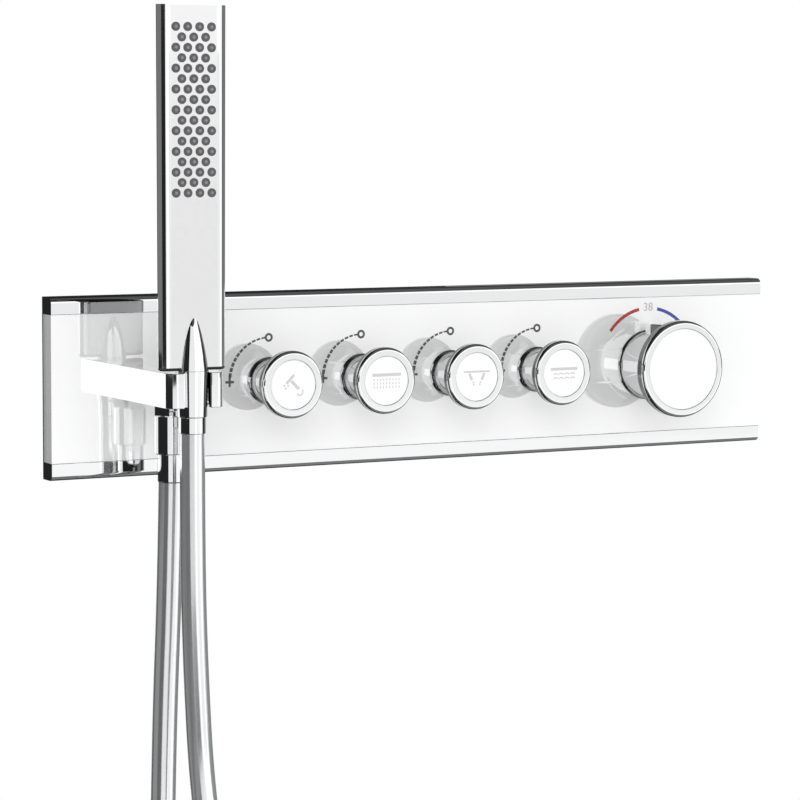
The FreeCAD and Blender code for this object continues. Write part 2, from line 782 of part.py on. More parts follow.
def handset_nozzles():
    x_span, z_span = mat_spans()
    face_back = stick_front_y + face_thickness
    mat = block(x_span, (face_back, face_back + mat_thickness), z_span)
    tip = stick_front_y - nozzle_proud
    nozzles = [rod(x, z, nozzle_radius, tip, face_back) for x, z in nozzle_places()]
    return mat.multiFuse(nozzles).removeSplitter()


def handset_body():
    stick = front_plate(stick_outline(0), stick_front_y, stick_front_y + stick_thickness)
    stick = stick.makeFillet(stick_edge_radius, [e for e in stick.Edges if e.Length > stick_length / 2])
    face_back = stick_front_y + face_thickness
    x_span, z_span = mat_spans()
    cuts = [front_plate(stick_outline(face_inset), stick_front_y, face_back),
            block(x_span, (face_back, face_back + mat_thickness + waterway_depth), z_span), bullet()]
    return stick.cut(cuts)


def handset_connector():
    shank = post(holder_x, seat_y, thread_radius, thread_bottom, stick_bottom_z)
    bore = post(holder_x, seat_y, restrictor_radius + loose_fit, thread_bottom, stick_bottom_z)
    return bullet().fuse(shank).removeSplitter().cut(bore)


def flow_restrictor():
    return post(holder_x, seat_y, restrictor_radius, thread_bottom, thread_bottom + restrictor_thickness)


def main():
    os.makedirs("parts", exist_ok=True)
    save("panel_plate", panel_sheet(-panel_depth, plate_back_y))
    save("panel_carrier", panel_sheet(plate_back_y, -gasket_thickness))
    save("panel_gasket", panel_gasket())
    save("top_bar", bar(1))
    save("bottom_bar", bar(-1))
    for number, x in enumerate(knob_xs, 1):
        save(f"volume_knob_{number}", knob(volume_sizes, x))
        save(f"volume_cap_{number}", knob_cap(volume_sizes, x))
        save(f"volume_screw_{number}", knob_screw(volume_sizes, x))
        save(f"volume_spindle_{number}", volume_spindle(x))
        save(f"volume_cartridge_{number}", cartridge(
            x, volume_sleeve_radius, volume_sleeve_reach, volume_pocket_radius, volume_pocket_floor_y,
            volume_sizes.spindle_radius))
    save("thermostat_knob", knob(thermostat_sizes, thermostat_x).cut(button_slot(button_gap)))
    save("thermostat_cap", knob_cap(thermostat_sizes, thermostat_x))
    save("thermostat_screw", knob_screw(thermostat_sizes, thermostat_x))
    save("thermostat_spindle", thermostat_spindle())
    save("thermostat_cartridge", cartridge(
        thermostat_x, thermostat_sleeve_radius, thermostat_sleeve_reach, thermostat_pocket_radius,
        thermostat_pocket_floor_y, thermostat_sizes.spindle_radius))
    save("thermostat_element", thermostat_element())
    save("thermostat_spring", thermostat_spring())
    save("safety_button", safety_button())
    save("safety_spring", safety_spring())
    save("valve_body", valve_body())
    save("check_valves", Part.makeCompound([check_valve(x) for x in inlet_xs()]))
    save("mounting_plate", mounting_plate())
    save("body_screws", Part.makeCompound([body_screw(x, z) for x in foot_places
                                           for z in (-body_screw_span / 2, body_screw_span / 2)]))
    save("panel_studs", Part.makeCompound(studs()))
    save("holder_arm", holder_arm())
    save("holder_stub", holder_stub())
    save("hose_outlet", hose_outlet())
    save("hose_check_valve", hose_check_valve())
    save("outlet_nut", outlet_nut())
    save("outlet_washer", washer(spigot_bottom, outlet_thread_radius, outlet_y))
    save("outlet_sleeve", end_fitting(outlet_y, outlet_washer_bottom, outlet_thread_radius, nut_bottom,
                                      sleeve_bottom_z, sleeve_radius))
    save("hose_rear", hose_rear())
    save("hose_front", hose_front())
    save("cone_nut", cone_nut())
    save("cone_washer", washer(thread_bottom, thread_radius, seat_y))
    save("cone_collar", end_fitting(seat_y, cone_washer_bottom, thread_radius, cone_bottom_z, collar_bottom_z,
                                    collar_radius))
    save("handset_body", handset_body())
    save("handset_face", handset_face())
    save("handset_nozzles", handset_nozzles())
    save("handset_connector", handset_connector())
    save("flow_restrictor", flow_restrictor())


main()
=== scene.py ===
"""Looks of a wall mounted thermostatic shower mixer, laid out as an add-on and run as a script."""
import json
import math

import bmesh
import bpy
from bpy.props import FloatProperty, FloatVectorProperty, IntProperty, PointerProperty
from mathutils import Matrix, Vector

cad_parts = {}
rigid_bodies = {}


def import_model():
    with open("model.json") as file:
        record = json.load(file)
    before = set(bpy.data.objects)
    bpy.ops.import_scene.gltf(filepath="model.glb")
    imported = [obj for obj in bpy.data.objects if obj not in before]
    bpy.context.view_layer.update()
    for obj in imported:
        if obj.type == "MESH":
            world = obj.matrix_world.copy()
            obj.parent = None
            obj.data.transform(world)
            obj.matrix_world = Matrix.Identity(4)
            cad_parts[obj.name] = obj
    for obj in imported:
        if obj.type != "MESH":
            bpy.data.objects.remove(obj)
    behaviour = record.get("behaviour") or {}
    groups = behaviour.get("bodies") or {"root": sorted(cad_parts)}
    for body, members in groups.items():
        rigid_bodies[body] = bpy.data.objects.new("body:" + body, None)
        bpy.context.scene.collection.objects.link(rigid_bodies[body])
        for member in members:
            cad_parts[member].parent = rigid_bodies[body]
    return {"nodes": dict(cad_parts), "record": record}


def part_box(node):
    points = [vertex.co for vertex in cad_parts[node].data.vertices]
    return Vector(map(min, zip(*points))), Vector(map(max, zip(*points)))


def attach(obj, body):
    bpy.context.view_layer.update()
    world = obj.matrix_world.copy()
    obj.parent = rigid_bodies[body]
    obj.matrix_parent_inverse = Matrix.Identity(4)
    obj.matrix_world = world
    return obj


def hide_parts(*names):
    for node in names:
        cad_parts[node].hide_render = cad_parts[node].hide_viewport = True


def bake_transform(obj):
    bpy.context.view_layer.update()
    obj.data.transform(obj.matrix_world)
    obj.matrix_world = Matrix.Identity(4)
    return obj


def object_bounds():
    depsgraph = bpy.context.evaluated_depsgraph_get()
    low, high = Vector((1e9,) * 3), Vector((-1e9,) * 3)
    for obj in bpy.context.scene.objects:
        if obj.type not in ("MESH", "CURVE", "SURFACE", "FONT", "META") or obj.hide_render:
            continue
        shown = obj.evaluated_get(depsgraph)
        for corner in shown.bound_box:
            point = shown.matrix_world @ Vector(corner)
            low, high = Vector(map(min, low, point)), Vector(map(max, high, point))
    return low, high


bl_info = {
    "name": "Shower mixer looks",
    "version": (1, 0, 0),
    "blender": (4, 5, 0),
    "location": "3D View > Sidebar > Mixer",
    "description": "Dresses the packed shower mixer with its finished surfaces",
    "category": "Object",
}

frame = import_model()
CAD_BOX = [list(corner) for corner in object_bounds()]
BODY_OF = {node: body for body, nodes in frame["record"]["behaviour"]["bodies"].items() for node in nodes}
SLOT_OF = {part["node"]: part["material_slot"] for part in frame["record"]["subparts"]}

MM = 0.001
TINY = 1e-7
WELD = 5e-6
SEGMENTS = 128
ARC_STEP = math.radians(6)
SHARP_ANGLE = math.radians(32)
VALVES = (1, 2, 3, 4)


def middle(node):
    """The middle of a frame node's box."""
    low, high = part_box(node)
    return (low + high) / 2


def half_width(node):
    """Half of a frame node's width along the panel."""
    low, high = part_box(node)
    return (high.x - low.x) / 2


PLATE_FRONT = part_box("panel_plate")[0].y
KNOB_X = [middle(f"volume_cap_{number}").x for number in VALVES]
THERMOSTAT_X = middle("thermostat_cap").x
SEAT = middle("cone_nut")
OUTLET = middle("outlet_nut")

# The route of the hose from the hand shower's collar round the hanging loop to the outlet's sleeve, as
# (distance behind the seat's axis, height)
HOSE_ROUTE = [
    (0.0, -0.0225), (0.0, -0.086), (-0.003, -0.148), (-0.0125, -0.228), (-0.041, -0.304), (-0.096, -0.372),
    (-0.128, -0.436), (-0.130, -0.506), (-0.095, -0.554), (-0.038, -0.573), (0.019, -0.554),
    (0.054, -0.506), (0.055, -0.432), (0.049, -0.350), (0.042, -0.266), (0.038, -0.185),
    (0.031, -0.112), (0.0285, -0.0528),
]


# What a user can change
def length(label, about, millimetres):
    """A size, with its default in millimetres."""
    default = millimetres * MM
    return FloatProperty(name=label, description=about, default=default, unit="LENGTH", precision=5)


def count(label, about, number, least):
    """A number of repeats."""
    return IntProperty(name=label, description=about, default=number, min=least)


def colour(label, about, value):
    """A colour."""
    return FloatVectorProperty(name=label, description=about, default=value, subtype="COLOR", min=0, max=1)


class MixerKnob(bpy.types.PropertyGroup):
    """Sizes of a turned knob, with reaches measured from the plate's front."""
    gap: length("Gap", "Space between the knob and the plate", 0.4)
    neck_radius: length("Neck radius", "Radius of the straight neck", 11.4)
    neck_length: length("Neck length", "Reach where the flare starts", 10.0)
    neck_wall: length("Neck wall", "Thickness of the hollow neck", 0.7)
    skirt: length("Skirt", "How far the neck widens at the plate", 2.6)
    flare_radius: length("Flare radius", "Radius where the flare meets the disc", 17.2)
    disc_radius: length("Disc radius", "Radius of the grip disc", 19.9)
    disc_thickness: length("Disc thickness", "Thickness of the grip disc", 6.6)
    reach: length("Reach", "Reach of the disc's front", 32.4)
    face_radius: length("Face radius", "Radius of the white inset", 14.5)
    hub_radius: length("Hub radius", "Radius of the inner hub", 7.5)
    hub_length: length("Hub length", "Length of the inner hub", 11.0)
    spindle_radius: length("Spindle radius", "Radius of the spindle in the hub", 5.0)
    back_round: length("Back round", "Rounding behind the disc's rim", 1.8)
    front_round: length("Front round", "Rounding in front of the disc's rim", 2.2)
    lip: length("Lip", "Rounding of the recess round the inset", 0.35)


class MixerSizes(bpy.types.PropertyGroup):
    """Sizes that the finished surfaces use beside the frame's own."""
    volume: PointerProperty(type=MixerKnob, name="Valve knobs", description="Sizes of the four valve knobs")
    thermostat: PointerProperty(type=MixerKnob, name="Thermostat",
                                description="Sizes of the thermostat knob")
    bar_round: length("Bar round", "Rounding of a bar's outer front edge", 3.4)
    bar_inner_round: length("Bar inner round", "Rounding of a bar's edge at the plate", 0.5)
    hose_diameter: length("Hose", "Diameter of the hose", 14.4)
    hose_length: length("Hose length", "Free length of the hose", 1195.0)
    hose_stretch: length("Hose give", "Length below the collar that gives under a lifted hand shower", 30.3)
    nozzle_radius: length("Nozzle", "Radius of a spray nozzle", 2.6)
    nozzle_pitch: length("Nozzle pitch", "Distance between the nozzles of a row", 7.3)
    nozzle_row_pitch: length("Row pitch", "Distance between the rows of nozzles", 5.76)
    nozzle_first_row: length("First row", "Distance of the first row from the hand shower's top", 12.2)
    nozzle_rows: count("Rows", "Rows of nozzles", 17, 3)
    nozzle_columns: count("Columns", "Nozzles in a long row", 4, 2)
    scale_radius: length("Scale radius", "Radius of a valve's printed scale", 25.6)
    scale_dashes: count("Dashes", "Dashes of a valve's printed scale", 11, 2)
    arc_radius: length("Arc radius", "Radius of the printed warm and cold arcs", 35.7)
    arc_width: length("Arc width", "Width of the printed warm and cold arcs", 2.1)
    print_height: length("Print height", "Thickness of the print", 0.04)


class MixerFinish(bpy.types.PropertyGroup):
    """Colours of the finishes."""
    glass: colour("Glass", "White glass of the plate", (0.97, 0.972, 0.975))
    chrome: colour("Chrome", "Polished chrome", (0.82, 0.825, 0.83))
    satin: colour("Satin", "Satin chrome of the spray face", (0.75, 0.75, 0.755))
    inset: colour("Inset", "White inset of the knobs", (0.95, 0.95, 0.95))
    hose: colour("Hose", "Silver hose", (0.80, 0.81, 0.82))
    warm: colour("Warm", "Printed warm arc", (0.42, 0.045, 0.03))
    cold: colour("Cold", "Printed cold arc", (0.05, 0.07, 0.38))
    ink: colour("Ink", "Printed marks", (0.09, 0.09, 0.095))
    pale_ink: colour("Pale ink", "Printed pictograms", (0.60, 0.60, 0.61))
    grey_ink: colour("Grey ink", "Printed number of the thermostat", (0.50, 0.50, 0.51))
    brass: colour("Brass", "Cast brass", (0.72, 0.54, 0.27))
    steel: colour("Steel", "Galvanised steel", (0.62, 0.63, 0.64))
    # also the colour of the painted shadow at the hand shower's lower end
    rubber: colour("Rubber", "Black rubber", (0.03, 0.03, 0.032))
    nozzle: colour("Nozzle", "Grey silicone of the nozzles", (0.085, 0.085, 0.09))
    nozzle_tip: colour("Nozzle tip", "Lighter middle of the nozzles", (0.22, 0.22, 0.225))
    carrier: colour("Carrier", "Plastic carrier behind the plate", (0.32, 0.33, 0.34))
    cartridge: colour("Cartridge", "Plastic of the cartridges", (0.74, 0.74, 0.71))
    floor: colour("Floor", "Pale floor", (0.86, 0.86, 0.86))


# Outlines and meshes
FLAT_WEIGHT = 100
TURNED_WEIGHT = 50


def rounded(points):
    """The points as flat vectors, with a tangent arc at each corner that has a third number."""
    flat = [Vector(point[:2]) for point in points]
    result = []
    for index, point in enumerate(points):
        here = flat[index]
        radius = point[2] if len(point) > 2 else 0.0
        if radius < TINY:
            result.append(here)
            continue
        before = (flat[index - 1] - here).normalized()
        after = (flat[(index + 1) % len(flat)] - here).normalized()
        half = before.angle(after) / 2
        centre = here + (before + after).normalized() * (radius / math.sin(half))
        spoke = here + before * (radius / math.tan(half)) - centre
        turn = math.pi - 2 * half
        side = 1 if before.x * after.y < before.y * after.x else -1
        steps = max(3, round(turn / ARC_STEP))
        for step in range(steps + 1):
            result.append(centre + Matrix.Rotation(side * turn * step / steps, 2) @ spoke)
    return result


def new_object(name, data):
    """A new object in the scene."""
    made = bpy.data.objects.new(name, data)
    bpy.context.scene.collection.objects.link(made)
    return made


def piece(name, mesh, sharp=SHARP_ANGLE):
    """A smooth shaded object from a mesh under construction, with its faces pointing outwards."""
    bmesh.ops.remove_doubles(mesh, verts=mesh.verts, dist=TINY)
    bmesh.ops.recalc_face_normals(mesh, faces=mesh.faces)
    data = bpy.data.meshes.new(name)
    mesh.to_mesh(data)
    mesh.free()
    data.shade_smooth()
    data.set_sharp_from_angle(angle=sharp)
    return new_object(name, data)


def settle(made):
    """Makes what the modifiers give the object's own plain mesh."""
    graph = bpy.context.evaluated_depsgraph_get()
    data = bpy.data.meshes.new_from_object(made.evaluated_get(graph), preserve_all_data_layers=True,
                                           depsgraph=graph)
    made.modifiers.clear()
    made.data = data
    data.name = made.name
    return made


def as_mesh(curve, name):
    """The curve's shape as a plain mesh object; the curve is removed."""
    graph = bpy.context.evaluated_depsgraph_get()
    data = bpy.data.meshes.new_from_object(curve.evaluated_get(graph), depsgraph=graph)
    bpy.data.objects.remove(curve)
    data.name = name
    return new_object(name, data)


def level_normals(made, weight=FLAT_WEIGHT):
    """Lets large flat faces keep their own direction beside small rounded ones."""
    modifier = made.modifiers.new("level", "WEIGHTED_NORMAL")
    modifier.keep_sharp = True
    modifier.weight = weight
    return settle(made)


def lathe(name, profile, place, closed=False):
    """A turned piece; the profile holds (along, radius) and place(along, radius, angle) gives a point."""
    mesh = bmesh.new()
    rings = []
    for along, radius in profile:
        spokes = range(SEGMENTS if radius > TINY else 1)
        rings.append([mesh.verts.new(place(along, radius, math.tau * step / SEGMENTS)) for step in spokes])
    following = rings[1:] + rings[:1] if closed else rings[1:]
    for ring, after in zip(rings, following):
        for step in range(SEGMENTS):
            quad = [ring[step % len(ring)], ring[(step + 1) % len(ring)],
                    after[(step + 1) % len(after)], after[step % len(after)]]
            corners = list(dict.fromkeys(quad))
            if len(corners) > 2:
                mesh.faces.new(corners)
    return level_normals(piece(name, mesh), TURNED_WEIGHT)


def outwards(x):
    """Places a turned point about an axis that stands out of the plate."""
    def place(reach, radius, angle):
        return x + radius * math.cos(angle), PLATE_FRONT - reach, radius * math.sin(angle)
    return place


def upright(axis):
    """Places a turned point about the upright line through a point."""
    def place(z, radius, angle):
        return axis.x + radius * math.cos(angle), axis.y + radius * math.sin(angle), z
    return place


def prism(name, outlines, near, far):
    """Solids between two copies of each outline; near and far place a flat point."""
    mesh = bmesh.new()
    for outline in outlines:
        front = [mesh.verts.new(near(point.x, point.y)) for point in outline]
        back = [mesh.verts.new(far(point.x, point.y)) for point in outline]
        mesh.faces.new(front)
        mesh.faces.new(back)
        for index in range(len(outline)):
            after = (index + 1) % len(outline)
            mesh.faces.new([front[index], front[after], back[after], back[index]])
    return piece(name, mesh)


def smooth_copy(node, sharp=SHARP_ANGLE):
    """A welded copy of a frame node, shaded smooth with its edges kept."""
    mesh = bmesh.new()
    mesh.from_mesh(frame["nodes"][node].data)
    bmesh.ops.remove_doubles(mesh, verts=mesh.verts, dist=WELD)
    return level_normals(piece(f"{node}_finished", mesh, sharp))


# Finish, body and slot of a piece
# Which faces of an upright piece get painted shade on their side towards the knobs
DARK_SIDE_FACING = 0.4
DARK_SIDE_SLOPE = 0.6


def dress(made, finish):
    """Leaves a piece with one finish."""
    made.data.materials.clear()
    made.data.materials.append(bpy.data.materials[finish])


def wear(made, finish, *nodes, body=None, slot=None):
    """Gives a piece its finish and the body of the nodes that it stands for, and hides those nodes; the
    slot is not used.
    """
    dress(made, finish)
    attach(made, body or BODY_OF[nodes[0]])
    if nodes:
        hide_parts(*nodes)
    return made


def give(made, finish, near_body, far_body, start, end, *nodes):
    """Gives a piece its finish, bakes its placement into its mesh and hides the nodes that it stands for.
    """
    dress(made, finish)
    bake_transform(made)
    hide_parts(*nodes)


def tint(made, finish, chosen):
    """Gives the faces that a test of (centre, normal) chooses another finish."""
    made.data.materials.append(bpy.data.materials[finish])
    for polygon in made.data.polygons:
        if chosen(polygon.center, polygon.normal):
            polygon.material_index = len(made.data.materials) - 1


def painted_shade_side(made):
    """Paints shade on the side of an upright piece that faces the knobs: the darkest chrome, standing in
    for a dark reflection there.
    """
    tint(made, "flare_chrome",
         lambda centre, normal: normal.x > DARK_SIDE_FACING and abs(normal.z) < DARK_SIDE_SLOPE)


# Nodes
FLOAT = "NodeSocketFloat"
WHOLE = "NodeSocketInt"
VECTOR = "NodeSocketVector"
GEOMETRY = "NodeSocketGeometry"


def node_group(kind, name, inputs, outputs):
    """A node group with named sockets, as (tree, what its inputs give, what its outputs take)."""
    tree = bpy.data.node_groups.new(name, kind)
    for way, sockets in (("INPUT", inputs), ("OUTPUT", outputs)):
        for label, socket in sockets.items():
            tree.interface.new_socket(label, in_out=way, socket_type=socket)
    return tree, tree.nodes.new("NodeGroupInput").outputs, tree.nodes.new("NodeGroupOutput").inputs


def join(tree, node, inputs):
    """Links each named input from a socket or sets it to a plain value, and gives the node's outputs."""
    for name, value in inputs.items():
        if isinstance(value, bpy.types.NodeSocket):
            tree.links.new(value, node.inputs[name])
        else:
            node.inputs[name].default_value = value
    return node.outputs


def add_node(tree, kind, inputs):
    """Adds a node with its inputs and gives its outputs."""
    return join(tree, tree.nodes.new(kind), inputs)


def maths(tree, operation, *operands):
    """Adds a Math node; each operand is a socket or a number."""
    node = tree.nodes.new("ShaderNodeMath")
    node.operation = operation
    return join(tree, node, dict(enumerate(operands)))["Value"]


def between(tree, share, start, end):
    """The value that lies a share of the way from start to end."""
    return maths(tree, "ADD", maths(tree, "MULTIPLY", share, end - start), start)


def vector(tree, **parts):
    """A vector from the sockets of its parts."""
    return add_node(tree, "ShaderNodeCombineXYZ", parts)["Vector"]


def grown(name, tree, values):
    """A plain mesh object from a Geometry Nodes tree with its inputs set."""
    made = new_object(name, bpy.data.meshes.new(name))
    modifier = made.modifiers.new("growth", "NODES")
    modifier.node_group = tree
    for socket in tree.interface.items_tree:
        if socket.in_out == "INPUT":
            modifier[socket.identifier] = values[socket.name]
    settle(made)
    made.data.set_sharp_from_angle(angle=SHARP_ANGLE)
    return made


def realized(tree, result, geometry, finish):
    """Ends a tree with Realize Instances and Set Material."""
    real = add_node(tree, "GeometryNodeRealizeInstances", {"Geometry": geometry})
    material = bpy.data.materials[finish]
    painted = add_node(tree, "GeometryNodeSetMaterial",
                       {"Geometry": real["Geometry"], "Material": material})
    tree.links.new(painted["Geometry"], result["Geometry"])


# Finishes
SMUDGE_DETAIL = 4.0
SMUDGE_SPREAD = (0.3, 0.7)
GRAIN_DETAIL = 6.0
GRAIN_DEPTH = 0.1 * MM
SHADE_STOPS = (0.35, 0.65)
CAST_SHADES = (0.86, 1.08)
EDGE_SHADES = (0.42, 0.44, 0.46)

# Polished metals, as (colour, share of its brightness, scale of the smudges, lowest and highest roughness);
# a share below one makes a darker copy of the chrome for painted shade
METALS = {
    "polished_chrome": ("chrome", 1.0, 30.0, 0.015, 0.045),
    # chrome at a lower share of its brightness: painted shade on the knobs' necks
    "neck_chrome": ("chrome", 0.72, 30.0, 0.02, 0.05),
    # chrome at a fifth of its brightness: painted shadow on the knobs' flares and rims' backs, and painted
    # shade on the fittings' sides towards the knobs
    "flare_chrome": ("chrome", 0.20, 30.0, 0.03, 0.06),
    # chrome at half its brightness: painted shade on the hand shower's back
    "back_chrome": ("chrome", 0.5, 60.0, 0.05, 0.09),
    "satin_chrome": ("satin", 1.0, 220.0, 0.16, 0.24),
}
# Cast metals, as (colour, roughness, scale and strength of the grain)
CASTINGS = {
    "cast_brass": ("brass", 0.34, 420.0, 0.45),
    "galvanised_steel": ("steel", 0.36, 160.0, 0.12),
}
# Glossy plastics, with their colours
GLOSSES = {"white_inset": "inset", "button_black": "rubber", "button_light": "inset"}
# Print, rubber and plain plastics, as (colour, roughness, scale and strength of the grain, drift of the
# colour)
PLASTICS = {
    "print_ink": ("ink", 0.5, 2500.0, 0.05, 0.06),
    "print_pale": ("pale_ink", 0.5, 2500.0, 0.05, 0.03),
    "print_grey": ("grey_ink", 0.5, 2500.0, 0.05, 0.03),
    "print_warm": ("warm", 0.5, 2500.0, 0.05, 0.1),
    "print_cold": ("cold", 0.5, 2500.0, 0.05, 0.1),
    # black rubber of the gasket and the works, and also the painted shadow at the hand shower's lower end
    "black_rubber": ("rubber", 0.7, 1500.0, 0.3, 0.2),
    "nozzle_grey": ("nozzle", 0.55, 1800.0, 0.15, 0.15),
    "nozzle_light": ("nozzle_tip", 0.45, 1800.0, 0.1, 0.06),
    "carrier_grey": ("carrier", 0.55, 700.0, 0.25, 0.06),
    "cartridge_white": ("cartridge", 0.45, 700.0, 0.15, 0.04),
}


def object_noise(tree, scale, detail):
    """Noise that is fixed to the piece."""
    place = tree.nodes.new("ShaderNodeTexCoord").outputs["Object"]
    inputs = {"Vector": place, "Scale": scale, "Detail": detail}
    return add_node(tree, "ShaderNodeTexNoise", inputs)["Fac"]


def smudge_group():
    """Faint smudges: a roughness that drifts between two values over the surface."""
    tree, given, result = node_group("ShaderNodeTree", "Smudges",
                                     {"Scale": FLOAT, "Low": FLOAT, "High": FLOAT}, {"Roughness": FLOAT})
    noise = object_noise(tree, given["Scale"], SMUDGE_DETAIL)
    spread = add_node(tree, "ShaderNodeMapRange", {
        "Value": noise, "From Min": SMUDGE_SPREAD[0], "From Max": SMUDGE_SPREAD[1],
        "To Min": given["Low"], "To Max": given["High"]})
    tree.links.new(spread["Result"], result["Roughness"])


def grain_group():
    """Fine grain of a cast, moulded or printed surface, as a normal and a mask."""
    tree, given, result = node_group("ShaderNodeTree", "Grain", {"Scale": FLOAT, "Strength": FLOAT},
                                     {"Normal": VECTOR, "Mask": FLOAT})
    noise = object_noise(tree, given["Scale"], GRAIN_DETAIL)
    bump = add_node(tree, "ShaderNodeBump",
                    {"Height": noise, "Strength": given["Strength"], "Distance": GRAIN_DEPTH})
    tree.links.new(bump["Normal"], result["Normal"])
    tree.links.new(noise, result["Mask"])


def shader(name, base, **constants):
    """A new material, as (tree, its Principled node), with constants set on the shader's own sockets."""
    made = bpy.data.materials.new(name)
    made.use_nodes = True
    principled = made.node_tree.nodes["Principled BSDF"]
    principled.inputs["Base Color"].default_value = (*base, 1.0)
    for socket, value in constants.items():
        principled.inputs[socket.replace("_", " ")].default_value = value
    return made.node_tree, principled


def effect(tree, name, **values):
    """Places a shared node group in a material with its own values and gives its outputs."""
    node = tree.nodes.new("ShaderNodeGroup")
    node.node_tree = bpy.data.node_groups[name]
    return join(tree, node, values)


def smudged(tree, principled, scale, low, high):
    """Lets the roughness drift between two values."""
    smudges = effect(tree, "Smudges", Scale=scale, Low=low, High=high)
    tree.links.new(smudges["Roughness"], principled.inputs["Roughness"])


def grained(tree, principled, scale, strength, shades=None):
    """Adds grain, and where shades are given lets the colour drift between them."""
    grain = effect(tree, "Grain", Scale=scale, Strength=strength)
    tree.links.new(grain["Normal"], principled.inputs["Normal"])
    if shades:
        ramp = tree.nodes.new("ShaderNodeValToRGB")
        for element, shade, place in zip(ramp.color_ramp.elements, shades, SHADE_STOPS):
            element.position = place
            element.color = (*shade, 1.0)
        tree.links.new(grain["Mask"], ramp.inputs["Fac"])
        tree.links.new(ramp.outputs["Color"], principled.inputs["Base Color"])


def shaded(base, share):
    """The colour with its brightness changed by a share."""
    return tuple(min(1.0, channel * share) for channel in base)


def metal_finish(name, base, scale, low, high):
    """A polished metal with faint smudges."""
    tree, principled = shader(name, base, Metallic=1.0)
    smudged(tree, principled, scale, low, high)


def cast_metal_finish(name, base, roughness, scale, strength):
    """A cast or drawn metal with a fine grain."""
    tree, principled = shader(name, base, Metallic=1.0, Roughness=roughness)
    grained(tree, principled, scale, strength, [shaded(base, share) for share in CAST_SHADES])


def plastic_finish(name, base, roughness, scale, strength, drift):
    """A moulded or printed surface whose colour drifts a little."""
    tree, principled = shader(name, base, Roughness=roughness)
    grained(tree, principled, scale, strength, (shaded(base, 1 - drift), shaded(base, 1 + drift)))


def gloss_finish(name, base):
    """A glossy plastic under a clear coat."""
    tree, principled = shader(name, base, Coat_Weight=0.6, Coat_Roughness=0.03)
    smudged(tree, principled, scale=40.0, low=0.12, high=0.22)


def hose_finish(base):
    """A smooth silver hose under a clear skin: softer than chrome."""
    tree, principled = shader("silver_hose", base, Metallic=0.85, Coat_Weight=0.2, Coat_Roughness=0.06)
    smudged(tree, principled, scale=9.0, low=0.15, high=0.19)


def glass_finish(base):
    """White glass with a bright polished surface that mirrors what stands before it."""
    tree, principled = shader("white_glass", base, IOR=3.2)
    smudged(tree, principled, scale=12.0, low=0.012, high=0.03)


def glass_edge_finish(base):
    """The plate's cut edge, greyer than its face."""
    darker, plain, lighter = [shaded(base, share) for share in EDGE_SHADES]
    tree, principled = shader("glass_edge", plain, Roughness=0.25)
    grained(tree, principled, scale=500.0, strength=0.1, shades=(darker, lighter))


class MIXER_OT_finishes(bpy.types.Operator):
    """Makes the materials of the chrome, glass, hose, print and inner pieces"""
    bl_idname = "mixer.finishes"
    bl_label = "Finishes"

    def execute(self, context):
        tone = context.scene.mixer_finish
        smudge_group()
        grain_group()
        glass_finish(tone.glass)
        glass_edge_finish(tone.glass)
        hose_finish(tone.hose)
        for name, (base, share, *values) in METALS.items():
            metal_finish(name, shaded(getattr(tone, base), share), *values)
        for name, (base, *values) in CASTINGS.items():
            cast_metal_finish(name, getattr(tone, base), *values)
        for name, base in GLOSSES.items():
            gloss_finish(name, getattr(tone, base))
        for name, (base, *values) in PLASTICS.items():
            plastic_finish(name, getattr(tone, base), *values)
        return {"FINISHED"}


# Stage
CAMERA_PLACE = (-0.9116, -1.6236, 0.1565)
CAMERA_YAW = math.radians(28.99)
CAMERA_PITCH = math.radians(5.327)
CAMERA_ROLL = math.radians(0.24)
CAMERA_SENSOR = 36.0
CAMERA_LENS = 137.53
WORLD_LIGHT = 0.95
LAMP_PLACE = (-1.2, -2.0, 1.6)
LAMP_SIZE = 1.6
LAMP_POWER = 16.0
FLOOR_RADIUS = 1.2
FLOOR_DROP = 0.004
STUDIO_RADIUS = 6.0
STUDIO_STEP = 3
ONE_REFLECTION = 1.5
# What mirrors see, as (azimuths, heights, light) in degrees from straight ahead; a later row lies over an
# earlier one
FIRST_LIGHT = (
    # The dark studio with its ceiling, floor and sides
    (-180, 180, -90, 90, 0.02),
    (-20, 120, 26, 90, 0.10),
    (-20, 120, -90, -34, 0.22),
    (-140, -88, -34, 26, 0.20),
    (72, 150, -34, 26, 0.20),
    (-180, -170, -30, 30, 0.25),
    (170, 180, -30, 30, 0.25),
    # The white screen in front with its brighter strips
    (-48, 72, -34, 26, 1.0),
    (-3, 12, -34, 26, 1.35),
    (42, 66, -34, 26, 1.35),
    (-3, 72, 3, 26, 1.35),
    (12, 42, -34, -4.8, 1.04),
    (12, 42, -34, -5.6, 1.08),
    (12, 42, -34, -6.4, 1.12),
    # Dark flags at the height of the hand shower and the hose's fittings
    (-42, -9, -4.75, 4.3, 0.02),
    (-140, -42, -4.75, 4.3, 0.2),
    (58, 150, -4.75, 4.3, 0.2),
    (-140, -48, -9, -4.3, 0.02),
)
# What they see in each other, after more than one reflection
LATER_LIGHT = ((-75, 75, -45, 45, 1.2), (-38, -16, -14, 7, 2.6))


def camera():
    """A camera at the photograph's place, looking along its yaw and pitch."""
    yaw, pitch, roll = CAMERA_YAW, CAMERA_PITCH, CAMERA_ROLL
    ahead = Vector((math.sin(yaw) * math.cos(pitch), math.cos(yaw) * math.cos(pitch), -math.sin(pitch)))
    level = Vector((math.cos(yaw), -math.sin(yaw), 0))
    up = level.cross(ahead)
    right = math.cos(roll) * level + math.sin(roll) * up
    top = math.cos(roll) * up - math.sin(roll) * level
    data = bpy.data.cameras.new("camera")
    data.sensor_width = CAMERA_SENSOR
    data.lens = CAMERA_LENS
    made = new_object("camera", data)
    turned = Matrix((right, top, -ahead)).transposed().to_4x4()
    made.matrix_world = Matrix.Translation(CAMERA_PLACE) @ turned
    bpy.context.scene.camera = made


